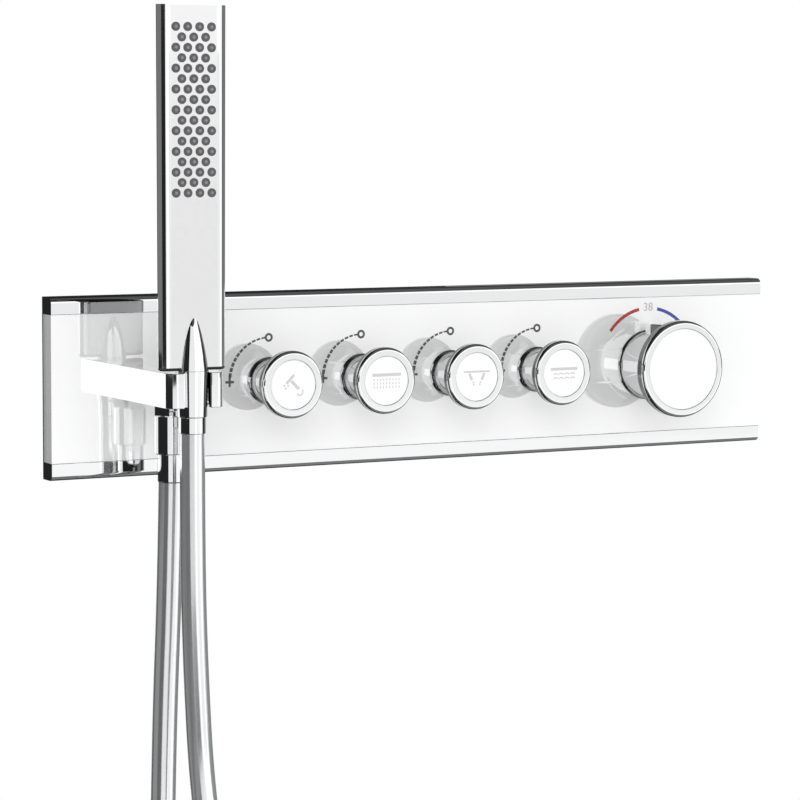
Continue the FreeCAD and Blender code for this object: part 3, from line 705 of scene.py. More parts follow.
def world():
    """A white background that the camera and shiny surfaces see, and an even light for the rest."""
    made = bpy.data.worlds.new("studio")
    bpy.context.scene.world = made
    made.use_nodes = True
    made.cycles.sampling_method = "NONE"
    tree = made.node_tree
    path = tree.nodes.new("ShaderNodeLightPath").outputs
    seen = path["Is Camera Ray"]
    for ray in ("Is Glossy Ray", "Is Transmission Ray"):
        seen = maths(tree, "MAXIMUM", seen, path[ray])
    strength = add_node(tree, "ShaderNodeMapRange", {"Value": seen, "To Min": WORLD_LIGHT, "To Max": 1.0})
    join(tree, tree.nodes["Background"], {"Color": (1, 1, 1, 1), "Strength": strength["Result"]})


def lying(table, azimuth, height, light):
    """The light of the last row of a table that holds the direction."""
    for left, right, low, high, value in table:
        if left <= azimuth < right and low <= height < high:
            light = value
    return light


def studio_light():
    """The screen's glow, with one light for the first reflection and another for later ones."""
    material = bpy.data.materials.new("studio_light")
    material.use_nodes = True
    tree = material.node_tree
    tree.nodes.remove(tree.nodes["Principled BSDF"])
    depth = tree.nodes.new("ShaderNodeLightPath").outputs["Glossy Depth"]
    lights = {"Factor": maths(tree, "GREATER_THAN", depth, ONE_REFLECTION)}
    for name, socket in (("first", "A"), ("later", "B")):
        light = tree.nodes.new("ShaderNodeAttribute")
        light.attribute_name = name
        lights[socket] = light.outputs["Fac"]
    mixed = add_node(tree, "ShaderNodeMix", lights)
    glow = add_node(tree, "ShaderNodeEmission", {"Strength": mixed["Result"]})
    tree.links.new(glow["Emission"], tree.nodes["Material Output"].inputs["Surface"])
    return material


def studio_screen():
    """A dark dome with bright panels in front, which only reflections see."""
    corners = []
    faces = []
    first = []
    later = []
    rows = FIRST_LIGHT + LATER_LIGHT
    turns = sorted({edge for row in rows for edge in row[:2]} | set(range(-180, 181, STUDIO_STEP)))
    rises = sorted({edge for row in rows for edge in row[2:4]} | set(range(-90, 91, STUDIO_STEP)))
    for left, right in zip(turns, turns[1:]):
        for low, high in zip(rises, rises[1:]):
            faces.append(range(len(corners), len(corners) + 4))
            for azimuth, height in ((left, low), (right, low), (right, high), (left, high)):
                turn = math.radians(azimuth)
                rise = math.radians(height)
                way = (math.sin(turn) * math.cos(rise), -math.cos(turn) * math.cos(rise), math.sin(rise))
                corners.append(Vector(way) * STUDIO_RADIUS)
            first.append(lying(FIRST_LIGHT, left, low, 0.0))
            later.append(lying(LATER_LIGHT, left, low, first[-1]))
    data = bpy.data.meshes.new("studio_screen")
    data.from_pydata(corners, [], faces)
    for name, values in (("first", first), ("later", later)):
        data.attributes.new(name, "FLOAT", "FACE").data.foreach_set("value", values)
    data.materials.append(studio_light())
    made = new_object("studio_screen", data)
    for ray in ("camera", "diffuse", "transmission", "shadow", "volume_scatter"):
        setattr(made, f"visible_{ray}", False)


def floor(base):
    """A pale floor below the hose's loop."""
    mesh = bmesh.new()
    bmesh.ops.create_circle(mesh, cap_ends=True, segments=96, radius=FLOOR_RADIUS)
    made = piece("floor", mesh)
    made.location.z = CAD_BOX[0][2] - FLOOR_DROP
    made.visible_glossy = False
    tree, principled = shader("pale_floor", base, Roughness=0.6)
    grained(tree, principled, scale=30.0, strength=0.02)
    dress(made, "pale_floor")


def lamp():
    """A soft square lamp, aimed at the origin, that shiny surfaces don't show."""
    data = bpy.data.lights.new("key_lamp", "AREA")
    data.size = LAMP_SIZE
    data.energy = LAMP_POWER
    made = new_object("key_lamp", data)
    made.location = LAMP_PLACE
    made.rotation_euler = (-Vector(LAMP_PLACE)).to_track_quat("-Z", "Y").to_euler()
    made.visible_glossy = False


class MIXER_OT_stage(bpy.types.Operator):
    """Sets up the camera, the white background, the studio screen, the floor and a soft lamp"""
    bl_idname = "mixer.stage"
    bl_label = "Stage"

    def execute(self, context):
        context.scene.view_settings.view_transform = "Standard"
        camera()
        world()
        studio_screen()
        floor(context.scene.mixer_finish.floor)
        lamp()
        return {"FINISHED"}


# Hose
HOSE_STEPS = 14
HOSE_ROUND_STEPS = 10


def hose_curve(name, bevel):
    """The hose's line as a smooth spline through its route's control points."""
    data = bpy.data.curves.new(name, "CURVE")
    data.dimensions = "3D"
    data.resolution_u = HOSE_STEPS
    data.bevel_depth = bevel
    data.bevel_resolution = HOSE_ROUND_STEPS
    data.use_fill_caps = bevel > 0
    spline = data.splines.new("NURBS")
    spline.points.add(len(HOSE_ROUTE) - 1)
    for point, (behind, height) in zip(spline.points, HOSE_ROUTE):
        point.co = (SEAT.x, SEAT.y + behind, height, 1)
    spline.order_u = 3
    spline.use_endpoint_u = True
    return new_object(name, data)


class MIXER_OT_hose(bpy.types.Operator):
    """Makes the hanging hose from the hand shower to the outlet under the arm"""
    bl_idname = "mixer.hose"
    bl_label = "Hose"

    def execute(self, context):
        sizes = context.scene.mixer_sizes
        line = as_mesh(hose_curve("hose_line", 0.0), "hose_path")
        bpy.data.objects.remove(line)
        hose = as_mesh(hose_curve("hose_tube", sizes.hose_diameter / 2), "hose")
        hose.data.shade_smooth()
        top = Vector((SEAT.x, SEAT.y, HOSE_ROUTE[0][1]))
        still = top - Vector((0, 0, sizes.hose_stretch))
        give(hose, "silver_hose", "mixer", "hand_shower", still, top, "hose_front", "hose_rear")
        return {"FINISHED"}


# Panel
END_FACING = 0.9


def bar(name, node, side, sizes):
    """A chrome bar along the plate, with a rounded outer edge and an eased inner edge."""
    low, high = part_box(node)
    inner, outer = (low.z, high.z) if side > 0 else (high.z, low.z)
    section = rounded([(high.y, inner), (low.y, inner, sizes.bar_inner_round),
                       (low.y, outer, sizes.bar_round), (high.y, outer)])
    made = prism(name, [section], lambda y, z: (low.x, y, z), lambda y, z: (high.x, y, z))
    wear(level_normals(made), "polished_chrome", node)


class MIXER_OT_panel(bpy.types.Operator):
    """Finishes the white plate with its two chrome bars, the carrier and the gasket"""
    bl_idname = "mixer.panel"
    bl_label = "Panel"

    def execute(self, context):
        sizes = context.scene.mixer_sizes
        bar("bar_along_top", "top_bar", 1, sizes)
        bar("bar_along_bottom", "bottom_bar", -1, sizes)
        plate = wear(smooth_copy("panel_plate"), "white_glass", "panel_plate")
        tint(plate, "glass_edge", lambda centre, normal: abs(normal.x) > END_FACING)
        wear(smooth_copy("panel_carrier"), "carrier_grey", "panel_carrier")
        wear(smooth_copy("panel_gasket"), "black_rubber", "panel_gasket")
        return {"FINISHED"}


# Knobs
CAP_THICKNESS = 1.8 * MM
CAP_BELOW_RIM = 0.2 * MM
CAP_GAP = 0.1 * MM
CAP_ROUND = 0.4 * MM
SCREW_HEAD_RADIUS = 3.6 * MM
SCREW_HEAD_DEPTH = 2.5 * MM
SCREW_HOLE = 2.1 * MM
HUB_END_WALL = 1.5 * MM
BORE_GAP = 0.05 * MM
FLARE_STEPS = 14
FLARE_SHADE_START = 0.3
SHADE_FACING = -0.05
SKIRT_ANGLE = math.radians(58)


def cap_seat(knob):
    """The reach of the seat under a knob's white inset."""
    return knob.reach - CAP_THICKNESS - CAP_BELOW_RIM


def knob_profile(knob):
    """The knob's section as (reach, radius): skirt, neck, flare, disc, recess for the inset and hub."""
    seat = cap_seat(knob)
    head_seat = seat - SCREW_HEAD_DEPTH
    spindle_end = head_seat - HUB_END_WALL
    hub_back = spindle_end - knob.hub_length
    disc_back = knob.reach - knob.disc_thickness
    cavity_end = disc_back - HUB_END_WALL
    face_hole = knob.face_radius + CAP_GAP
    bore = knob.spindle_radius + BORE_GAP
    inner = knob.neck_radius - knob.neck_wall
    hollow = knob.skirt / (1 - math.cos(SKIRT_ANGLE))
    skirt = []
    flare = []
    for step in range(FLARE_STEPS + 1):
        share = step / FLARE_STEPS
        angle = SKIRT_ANGLE * (1 - share)
        skirt.append((knob.gap + hollow * (math.sin(SKIRT_ANGLE) - math.sin(angle)),
                      knob.neck_radius + hollow * (1 - math.cos(angle))))
        flare.append((knob.neck_length + share * (disc_back - knob.neck_length),
                      knob.neck_radius + share ** 2 * (knob.flare_radius - knob.neck_radius)))
    rim = [(disc_back, knob.disc_radius, knob.back_round), (knob.reach, knob.disc_radius, knob.front_round),
           (knob.reach, face_hole, knob.lip), (seat, face_hole)]
    screw_seat = [(seat, SCREW_HEAD_RADIUS), (head_seat, SCREW_HEAD_RADIUS), (head_seat, SCREW_HOLE),
                  (spindle_end, SCREW_HOLE)]
    hub = [(spindle_end, bore), (hub_back, bore), (hub_back, knob.hub_radius),
           (cavity_end, knob.hub_radius), (cavity_end, inner), (knob.gap, inner)]
    return rounded(skirt + flare + rim + screw_seat + hub)


def cap_profile(knob):
    """The white inset's section as (reach, radius)."""
    seat = cap_seat(knob)
    front = knob.reach - CAP_BELOW_RIM
    return rounded([(seat, 0), (seat, knob.face_radius), (front, knob.face_radius, CAP_ROUND), (front, 0)])


def paint_knob_shade(made, knob, x):
    """Paints shade on a knob: darker chrome on its neck and all behind the disc, and darker still, as
    painted shadow, on the flare near the disc and the back of the disc's rim.
    """
    front = PLATE_FRONT - knob.reach
    disc_back = front + knob.disc_thickness
    flare_length = knob.reach - knob.disc_thickness - knob.neck_length
    flare_start = PLATE_FRONT - knob.neck_length - FLARE_SHADE_START * flare_length
    rim_front = front + knob.front_round - TINY
    rim_inside = (knob.face_radius + knob.disc_radius) / 2

    def in_shade(centre, normal):
        if normal.y <= SHADE_FACING:
            return False
        if centre.y > disc_back:
            return centre.y < flare_start
        return centre.y > rim_front and Vector((centre.x - x, centre.z)).length > rim_inside

    # painted shade: the neck and all behind the disc in darker chrome
    tint(made, "neck_chrome", lambda centre, normal: centre.y > disc_back + TINY)
    # painted shadow: the flare near the disc and the back of the rim in the darkest chrome
    tint(made, "flare_chrome", in_shade)


# Pictograms and marks, as outlines in millimetres
SECTOR_STEP = 6
SPOT_SIDES = 16


def stroke(start, end, width):
    """A straight stroke with square ends."""
    start, end = Vector(start), Vector(end)
    way = (end - start).normalized()
    side = Vector((-way.y, way.x)) * (width / 2)
    return [start - side, end - side, end + side, start + side]


def ring_sector(radius, width, start, end):
    """A curved stroke along an arc, with its angles in degrees."""
    steps = max(4, round(abs(end - start) / SECTOR_STEP))
    angles = [math.radians(start + (end - start) * step / steps) for step in range(steps + 1)]
    spokes = [Vector((math.cos(angle), math.sin(angle))) for angle in angles]
    outer = [spoke * (radius + width / 2) for spoke in spokes]
    return outer + [spoke * (radius - width / 2) for spoke in reversed(spokes)]


def moved(outline, u, v):
    """The outline, moved."""
    return [point + Vector((u, v)) for point in outline]


def spot(u, v, radius):
    """A round dot."""
    angles = [math.tau * side / SPOT_SIDES for side in range(SPOT_SIDES)]
    return [Vector((u + radius * math.cos(angle), v + radius * math.sin(angle))) for angle in angles]


def hand_spray_sign():
    """A tilted hand spray with its hose and three drops."""
    shapes = [stroke((-1.4, 2.4), (3.6, -2.6), 1.8), stroke((-4.6, 0.8), (0.4, 5.8), 1.6),
              moved(ring_sector(2.0, 0.8, -150, 40), 4.1, -4.2)]
    return shapes + [spot(u, v, 0.6) for u, v in ((-5.0, -2.0), (-3.4, -0.4), (-5.9, -0.2))]


def rain_sign():
    """A wide overhead spray with rows of falling water."""
    shapes = [stroke((-9.6, 3.6), (9.6, 3.6), 1.8)]
    for height in (1.4, -0.8, -3.0):
        shapes += [stroke((-8.4 + 2.1 * k, height), (-8.4 + 2.1 * k, height - 1.3), 0.7) for k in range(9)]
    return shapes


def jets_sign():
    """Two wall jets that spray down from a rail."""
    shapes = [stroke((-9.0, 3.2), (9.0, 3.2), 1.1)]
    for side in (-1, 1):
        shapes.append(stroke((side * 5.2, 2.2), (side * 3.4, -1.8), 1.7))
        shapes += [spot(side * (2.6 - 0.5 * k), -3.2 - 1.3 * k, 0.55) for k in (0, 1)]
    return shapes


def cascade_sign():
    """A flat spout over two rows of waves."""
    shapes = [stroke((-9.6, 2.6), (9.6, 2.6), 1.7)]
    for height in (-1.8, -4.4):
        shapes += [moved(ring_sector(1.8, 0.7, 30, 150), -6.0 + 4.0 * k, height) for k in range(4)]
    return shapes


SIGNS = (hand_spray_sign, rain_sign, jets_sign, cascade_sign)


def printed(name, outlines, x, reach, height):
    """Flat print that lies on a face at the given reach from the plate's front."""
    surface = PLATE_FRONT - reach
    return prism(name, outlines, lambda u, v: (x + u * MM, surface - height, v * MM),
                 lambda u, v: (x + u * MM, surface, v * MM))


class MIXER_OT_volume_knobs(bpy.types.Operator):
    """Makes the four valve knobs with their white insets and pictograms"""
    bl_idname = "mixer.volume_knobs"
    bl_label = "Valve knobs"

    def execute(self, context):
        sizes = context.scene.mixer_sizes
        knob = sizes.volume
        front = knob.reach - CAP_BELOW_RIM
        for number, x, sign in zip(VALVES, KNOB_X, SIGNS):
            body = lathe(f"valve_knob_{number}", knob_profile(knob), outwards(x), closed=True)
            wear(body, "polished_chrome", f"volume_knob_{number}")
            # painted shade on the neck, painted shadow on the flare and the back of the rim
            paint_knob_shade(body, knob, x)
            inset = lathe(f"valve_inset_{number}", cap_profile(knob), outwards(x))
            wear(inset, "white_inset", f"volume_cap_{number}")
            picture = printed(f"valve_sign_{number}", sign(), x, front, sizes.print_height)
            wear(picture, "print_pale", body=f"volume_valve_{number}", slot="white_inset")
        return {"FINISHED"}


# Thermostat
SLOT_GAP = 0.3 * MM
SLOT_FLANGE = 1.6 * MM
BUTTON_LIGHT_LENGTH = 5.5 * MM
# The thermostat knob is the same turned form in its own larger sizes, in millimetres
THERMOSTAT_SIZES = {
    "neck_radius": 20.4, "neck_length": 18.0, "neck_wall": 0.7, "skirt": 1.6, "flare_radius": 26.5,
    "disc_radius": 30.1, "disc_thickness": 8.0, "reach": 40.7, "face_radius": 25.1, "hub_radius": 10.0,
    "hub_length": 20.0, "spindle_radius": 6.0,
}


def cut_slot(body):
    """Cuts the slot for the safety button in the thermostat knob's neck."""
    low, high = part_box("safety_button")
    span = high - low + Vector((SLOT_GAP, SLOT_GAP, SLOT_GAP)) * 2
    span.x -= 2 * SLOT_FLANGE
    mesh = bmesh.new()
    bmesh.ops.create_cube(mesh, size=1)
    place = Matrix.Translation((low + high) / 2) @ Matrix.Diagonal((*span, 1))
    bmesh.ops.transform(mesh, matrix=place, verts=mesh.verts)
    cutter = piece("slot_cutter", mesh)
    modifier = body.modifiers.new("slot", "BOOLEAN")
    modifier.object = cutter
    modifier.operation = "DIFFERENCE"
    modifier.solver = "EXACT"
    settle(body)
    body.data.set_sharp_from_angle(angle=SHARP_ANGLE)
    bpy.data.objects.remove(cutter)


def safety_button():
    """The black safety button with a light end towards the plate."""
    made = wear(smooth_copy("safety_button"), "button_black", "safety_button")
    light_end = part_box("safety_button")[1].y - BUTTON_LIGHT_LENGTH
    mesh = bmesh.new()
    mesh.from_mesh(made.data)
    everything = mesh.verts[:] + mesh.edges[:] + mesh.faces[:]
    bmesh.ops.bisect_plane(mesh, geom=everything, plane_co=(0, light_end, 0), plane_no=(0, 1, 0))
    mesh.to_mesh(made.data)
    mesh.free()
    tint(made, "button_light", lambda centre, normal: centre.y > light_end)


class MIXER_OT_thermostat(bpy.types.Operator):
    """Makes the thermostat knob with its inset, the slot in its neck and the safety button"""
    bl_idname = "mixer.thermostat"
    bl_label = "Thermostat"

    def execute(self, context):
        knob = context.scene.mixer_sizes.thermostat
        for name, value in THERMOSTAT_SIZES.items():
            setattr(knob, name, value * MM)
        body = lathe("thermostat_grip", knob_profile(knob), outwards(THERMOSTAT_X), closed=True)
        cut_slot(body)
        wear(body, "polished_chrome", "thermostat_knob")
        # painted shade on the neck, painted shadow on the flare and the back of the rim
        paint_knob_shade(body, knob, THERMOSTAT_X)
        inset = lathe("thermostat_inset", cap_profile(knob), outwards(THERMOSTAT_X))
        wear(inset, "white_inset", "thermostat_cap")
        safety_button()
        return {"FINISHED"}


# Print on the plate, with the marks' sizes in millimetres and angles in degrees
DASH_ARC = (math.radians(98), math.radians(171))
DASH_WIDTHS = (1.0 * MM, 2.0 * MM)
DASH_LENGTH = 2.5 * MM
RING_RADIUS = 1.95
RING_WIDTH = 1.35
RING_HALVES = ((90, 269.9), (270, 449.9))
PLUS_REACH = 2.85
PLUS_UPRIGHT_WIDTH = 1.4
PLUS_LEVEL_WIDTH = 1.43
ARCS = (("warm_arc", "print_warm", 101, 142), ("cold_arc", "print_cold", 79, 38))
NUMBER_SIZE = 7.4 * MM
NUMBER_LIFT = 0.6 * MM


def dashes_tree():
    """Dashes along a quarter scale that thicken towards its end, repeated at every valve."""
    tree, given, result = node_group(
        "GeometryNodeTree", "Scale dashes",
        {"Count": WHOLE, "Radius": FLOAT, "Length": FLOAT, "Height": FLOAT, "Valves": WHOLE, "Pitch": FLOAT,
         "Place": VECTOR}, {"Geometry": GEOMETRY})
    index = tree.nodes.new("GeometryNodeInputIndex").outputs["Index"]
    share = maths(tree, "DIVIDE", index, maths(tree, "SUBTRACT", given["Count"], 1))
    angle = between(tree, share, *DASH_ARC)
    across = maths(tree, "MULTIPLY", maths(tree, "COSINE", angle), given["Radius"])
    rise = maths(tree, "MULTIPLY", maths(tree, "SINE", angle), given["Radius"])
    line = add_node(tree, "GeometryNodeMeshLine", {"Count": given["Count"]})
    spread = add_node(tree, "GeometryNodeSetPosition",
                      {"Geometry": line["Mesh"], "Position": vector(tree, X=across, Z=rise)})
    turn = vector(tree, Y=maths(tree, "MULTIPLY", angle, -1))
    rotation = add_node(tree, "FunctionNodeEulerToRotation", {"Euler": turn})
    width = between(tree, share, *DASH_WIDTHS)
    dash = tree.nodes.new("GeometryNodeMeshCube").outputs["Mesh"]
    ring = add_node(tree, "GeometryNodeInstanceOnPoints", {
        "Points": spread["Geometry"], "Instance": dash, "Rotation": rotation["Rotation"],
        "Scale": vector(tree, X=width, Y=given["Height"], Z=given["Length"])})
    row = add_node(tree, "GeometryNodeMeshLine", {
        "Count": given["Valves"], "Start Location": given["Place"],
        "Offset": vector(tree, X=given["Pitch"])})
    rings = add_node(tree, "GeometryNodeInstanceOnPoints",
                     {"Points": row["Mesh"], "Instance": ring["Instances"]})
    realized(tree, result, rings["Instances"], "print_ink")
    return tree


def dash_marks(sizes):
    """The dashed scales of all valves."""
    pitch = (KNOB_X[-1] - KNOB_X[0]) / (len(KNOB_X) - 1)
    place = (KNOB_X[0], PLATE_FRONT - sizes.print_height / 2, 0)
    values = {"Count": sizes.scale_dashes, "Radius": sizes.scale_radius, "Length": DASH_LENGTH,
              "Height": sizes.print_height, "Valves": len(VALVES), "Pitch": pitch, "Place": place}
    return grown("scale_dashes", dashes_tree(), values)


def ring_marks(top):
    """A ring at the top end of each valve's scale."""
    return [moved(ring_sector(RING_RADIUS, RING_WIDTH, *half), x / MM, top)
            for x in KNOB_X for half in RING_HALVES]


def plus_marks(left):
    """A plus at the left end of each valve's scale."""
    shapes = []
    for x in KNOB_X:
        u = x / MM - left
        for side in (-1, 1):
            ends = sorted((side * PLUS_UPRIGHT_WIDTH / 2, side * PLUS_REACH))
            shapes.append(stroke((u + ends[0], 0), (u + ends[1], 0), PLUS_LEVEL_WIDTH))
        shapes.append(stroke((u, -PLUS_REACH), (u, PLUS_REACH), PLUS_UPRIGHT_WIDTH))
    return shapes


def printed_number(words, z, height):
    """A plain number printed above the thermostat, as a plain mesh."""
    name = f"number_{words}"
    data = bpy.data.curves.new(name, "FONT")
    data.body = words
    data.size = NUMBER_SIZE
    data.align_x = "CENTER"
    data.align_y = "CENTER"
    data.extrude = height / 2
    made = as_mesh(new_object(name, data), name)
    place = Matrix.Translation((THERMOSTAT_X, PLATE_FRONT - height / 2, z))
    made.data.transform(place @ Matrix.Rotation(math.pi / 2, 4, "X"))
    return made


def on_plate(made, finish):
    """Finishes print that lies on the plate."""
    wear(made, finish, body="mixer", slot="panel_glass")


class MIXER_OT_print(bpy.types.Operator):
    """Prints the scales of the valves and the warm and cold arcs of the thermostat on the plate"""
    bl_idname = "mixer.print"
    bl_label = "Print"

    def execute(self, context):
        sizes = context.scene.mixer_sizes
        height = sizes.print_height
        radius = sizes.scale_radius / MM
        on_plate(dash_marks(sizes), "print_ink")
        on_plate(printed("scale_rings", ring_marks(radius), 0, 0, height), "print_ink")
        on_plate(printed("scale_pluses", plus_marks(radius), 0, 0, height), "print_ink")
        for name, finish, start, end in ARCS:
            arc = ring_sector(sizes.arc_radius / MM, sizes.arc_width / MM, start, end)
            on_plate(printed(name, [arc], THERMOSTAT_X, 0, height), finish)
        on_plate(printed_number("38", sizes.arc_radius + NUMBER_LIFT, height), "print_grey")
        return {"FINISHED"}


# Holder arm and the hose's fittings
ARM_EXTRA_REACH = 2.0 * MM
ARM_CORNER = 6.0 * MM
ARM_BEVEL = 0.45 * MM
ARM_BEVELLED_ANGLE = math.radians(60)
SEAT_SLOT = 8.2 * MM
SEAT_MOUTH_ROUND = 0.8 * MM
SEAT_RADIUS = 9.6 * MM
SEAT_STEPS = 40
NIPPLE_SHARP_ANGLE = math.radians(12)
NUT_BORE = 5.9 * MM
NUT_FOOT_ROUND = 0.7 * MM
RING_EDGE = 0.25 * MM
RING_FOOT_ROUND = 0.6 * MM
SLEEVE_RADIUS = 7.7 * MM
TAIL_BORE = 4.4 * MM
TAIL_RADIUS = 5.8 * MM
TAIL_LENGTH = 4 * MM
CONE_NARROW = 8.4 * MM
CONE_BORE = 7.2 * MM
CONE_EDGE = 0.35 * MM
CONE_FLOOR = 2 * MM


def arm():
    """The square holder arm with its open round seat and eased edges."""
    low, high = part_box("holder_arm")
    tip = low.y - ARM_EXTRA_REACH
    mouth = math.acos(SEAT_SLOT / SEAT_RADIUS)
    seat = []
    for step in range(SEAT_STEPS + 1):
        angle = -mouth + (math.pi + 2 * mouth) * step / SEAT_STEPS
        seat.append((SEAT.x + SEAT_RADIUS * math.cos(angle), SEAT.y + SEAT_RADIUS * math.sin(angle)))
    left = [(low.x, high.y), (low.x, tip, ARM_CORNER), (SEAT.x - SEAT_SLOT, tip, SEAT_MOUTH_ROUND)]
    right = [(SEAT.x + SEAT_SLOT, tip, SEAT_MOUTH_ROUND), (high.x, tip, ARM_CORNER), (high.x, high.y)]
    plan = rounded(left + seat[::-1] + right)
    made = prism("arm", [plan], lambda x, y: (x, y, low.z), lambda x, y: (x, y, high.z))
    mesh = bmesh.new()
    mesh.from_mesh(made.data)
    edges = [edge for edge in mesh.edges if edge.calc_face_angle(0) > ARM_BEVELLED_ANGLE and
             min(vertex.co.y for vertex in edge.verts) < high.y - TINY]
    bmesh.ops.bevel(mesh, geom=edges, offset=ARM_BEVEL, segments=3, profile=0.5, affect="EDGES")
    mesh.to_mesh(made.data)
    mesh.free()
    made.data.shade_smooth()
    made.data.set_sharp_from_angle(angle=SHARP_ANGLE)
    return level_normals(made)


def fitting(name, node, axis, section):
    """A turned chrome fitting on an upright axis, from its closed section of (height, radius)."""
    made = lathe(name, rounded(section), upright(axis), closed=True)
    return wear(made, "polished_chrome", node)


def hose_nut():
    """The plain nut under the outlet."""
    low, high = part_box("outlet_nut")
    outer = half_width("outlet_nut")
    fitting("hose_nut", "outlet_nut", OUTLET, [
        (high.z, NUT_BORE), (high.z, outer, RING_EDGE), (low.z, outer, NUT_FOOT_ROUND), (low.z, NUT_BORE)])


def hose_ring(name, node, nut, axis, outer):
    """A ring round one end of the hose, with a tail that reaches up into its nut."""
    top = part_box(nut)[0].z
    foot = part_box(node)[0].z
    made = fitting(name, node, axis, [
        (top + TAIL_LENGTH, TAIL_BORE), (top + TAIL_LENGTH, TAIL_RADIUS), (top, TAIL_RADIUS),
        (top, outer, RING_EDGE), (foot, outer, RING_FOOT_ROUND), (foot, TAIL_BORE)])
    # painted shade on the ring's side towards the knobs
    painted_shade_side(made)


def cone_nut():
    """The cone that sits in the arm's seat."""
    low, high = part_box("cone_nut")
    made = fitting("cone_nut_turned", "cone_nut", SEAT, [
        (high.z, CONE_BORE), (high.z, half_width("cone_nut"), CONE_EDGE),
        (low.z, CONE_NARROW, NUT_FOOT_ROUND), (low.z, NUT_BORE),
        (low.z + CONE_FLOOR, NUT_BORE), (low.z + CONE_FLOOR, CONE_BORE)])
    # painted shade on the cone's side towards the knobs
    painted_shade_side(made)


class MIXER_OT_holder(bpy.types.Operator):
    """Finishes the holder arm, the nipple under it and the fittings at both ends of the hose"""
    bl_idname = "mixer.holder"
    bl_label = "Holder"

    def execute(self, context):
        wear(arm(), "polished_chrome", "holder_arm")
        wear(smooth_copy("hose_outlet", NIPPLE_SHARP_ANGLE), "polished_chrome", "hose_outlet")
        hose_nut()
        hose_ring("hose_sleeve", "outlet_sleeve", "outlet_nut", OUTLET, SLEEVE_RADIUS)
        hose_ring("hose_collar", "cone_collar", "cone_nut", SEAT, half_width("cone_collar"))
        cone_nut()
        return {"FINISHED"}


# Hand shower
STICK_FLAT = 14.3 * MM
STICK_SIDE_LOW = 6.2 * MM
STICK_SIDE_HIGH = 6.8 * MM
STICK_HALF_DEPTH = 3.8 * MM
STICK_END_ROUND = 1.8 * MM
STICK_END_STEPS = 6
STICK_SEGMENTS = 64
BACK_FACING = 0.4
FACE_PROUD = 0.03 * MM
FACE_DEPTH = 1.0 * MM
FACE_BELOW_TOP = 0.2 * MM
BULLET_TIP_RADIUS = 3.0 * MM
BULLET_STEPS = 16
BULLET_STRAIGHT = 0.62
BULLET_CURVE = 2.2
SHANK_RADIUS = 7.1 * MM
NOZZLE_SIDES = 28
# Each cone of a nozzle, as (lower and upper radius as shares of the nozzle's, height)
RIM_CONE = (1.0, 0.97, 1.0 * MM)
TIP_CONE = (0.45, 0.3, 0.5 * MM)
TO_FRONT = (math.pi / 2, 0, 0)


def stick():
    """The hand shower's flat stick: rounded sides, a slight taper and an eased lower end."""
    low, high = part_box("handset_body")
    heights = []
    for step in range(STICK_END_STEPS + 1):
        angle = math.pi / 2 * step / STICK_END_STEPS
        heights.append((low.z + STICK_END_ROUND * (1 - math.cos(angle)),
                        STICK_END_ROUND * (1 - math.sin(angle))))
    heights.append((high.z, 0.0))
    mesh = bmesh.new()
    rings = []
    for z, inset in heights:
        share = (z - low.z) / (high.z - low.z)
        wide = STICK_SIDE_LOW + share * (STICK_SIDE_HIGH - STICK_SIDE_LOW) - inset
        deep = STICK_HALF_DEPTH - inset
        ring = []
        for step in range(STICK_SEGMENTS):
            angle = math.tau * (step + 0.5) / STICK_SEGMENTS
            x = math.copysign(STICK_FLAT, math.cos(angle)) + wide * math.cos(angle)
            ring.append(mesh.verts.new((SEAT.x + x, low.y + STICK_HALF_DEPTH + deep * math.sin(angle), z)))
        rings.append(ring)
    mesh.faces.new(rings[0])
    mesh.faces.new(rings[-1])
    for ring, above in zip(rings, rings[1:]):
        for step in range(STICK_SEGMENTS):
            after = (step + 1) % STICK_SEGMENTS
            mesh.faces.new([ring[step], ring[after], above[after], above[step]])
    return level_normals(piece("stick", mesh))


def spray_face():
    """The satin face on the flat front of the stick, from end to end."""
    low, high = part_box("handset_body")
    front = low.y - FACE_PROUD
    left, right = SEAT.x - STICK_FLAT, SEAT.x + STICK_FLAT
    bottom, top = low.z + STICK_END_ROUND, high.z - FACE_BELOW_TOP
    outline = rounded([(left, bottom), (right, bottom), (right, top), (left, top)])
    return prism("spray_face", [outline], lambda x, z: (x, front, z),
                 lambda x, z: (x, front + FACE_DEPTH, z))


def connector():
    """The pointed dome at the foot of the stick, on a threaded shank."""
    low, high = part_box("handset_connector")
    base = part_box("cone_nut")[1].z
    radius = half_width("handset_connector")
    profile = [(low.z, 0.0), (low.z, SHANK_RADIUS), (base, SHANK_RADIUS)]
    for step in range(BULLET_STEPS + 1):
        share = step / BULLET_STEPS
        drawn_in = BULLET_STRAIGHT * share + (1 - BULLET_STRAIGHT) * share ** BULLET_CURVE
        profile.append((base + share * (high.z - base), radius - drawn_in * (radius - BULLET_TIP_RADIUS)))
    profile.append((high.z, 0.0))
    return lathe("connector_dome", profile, upright(SEAT))


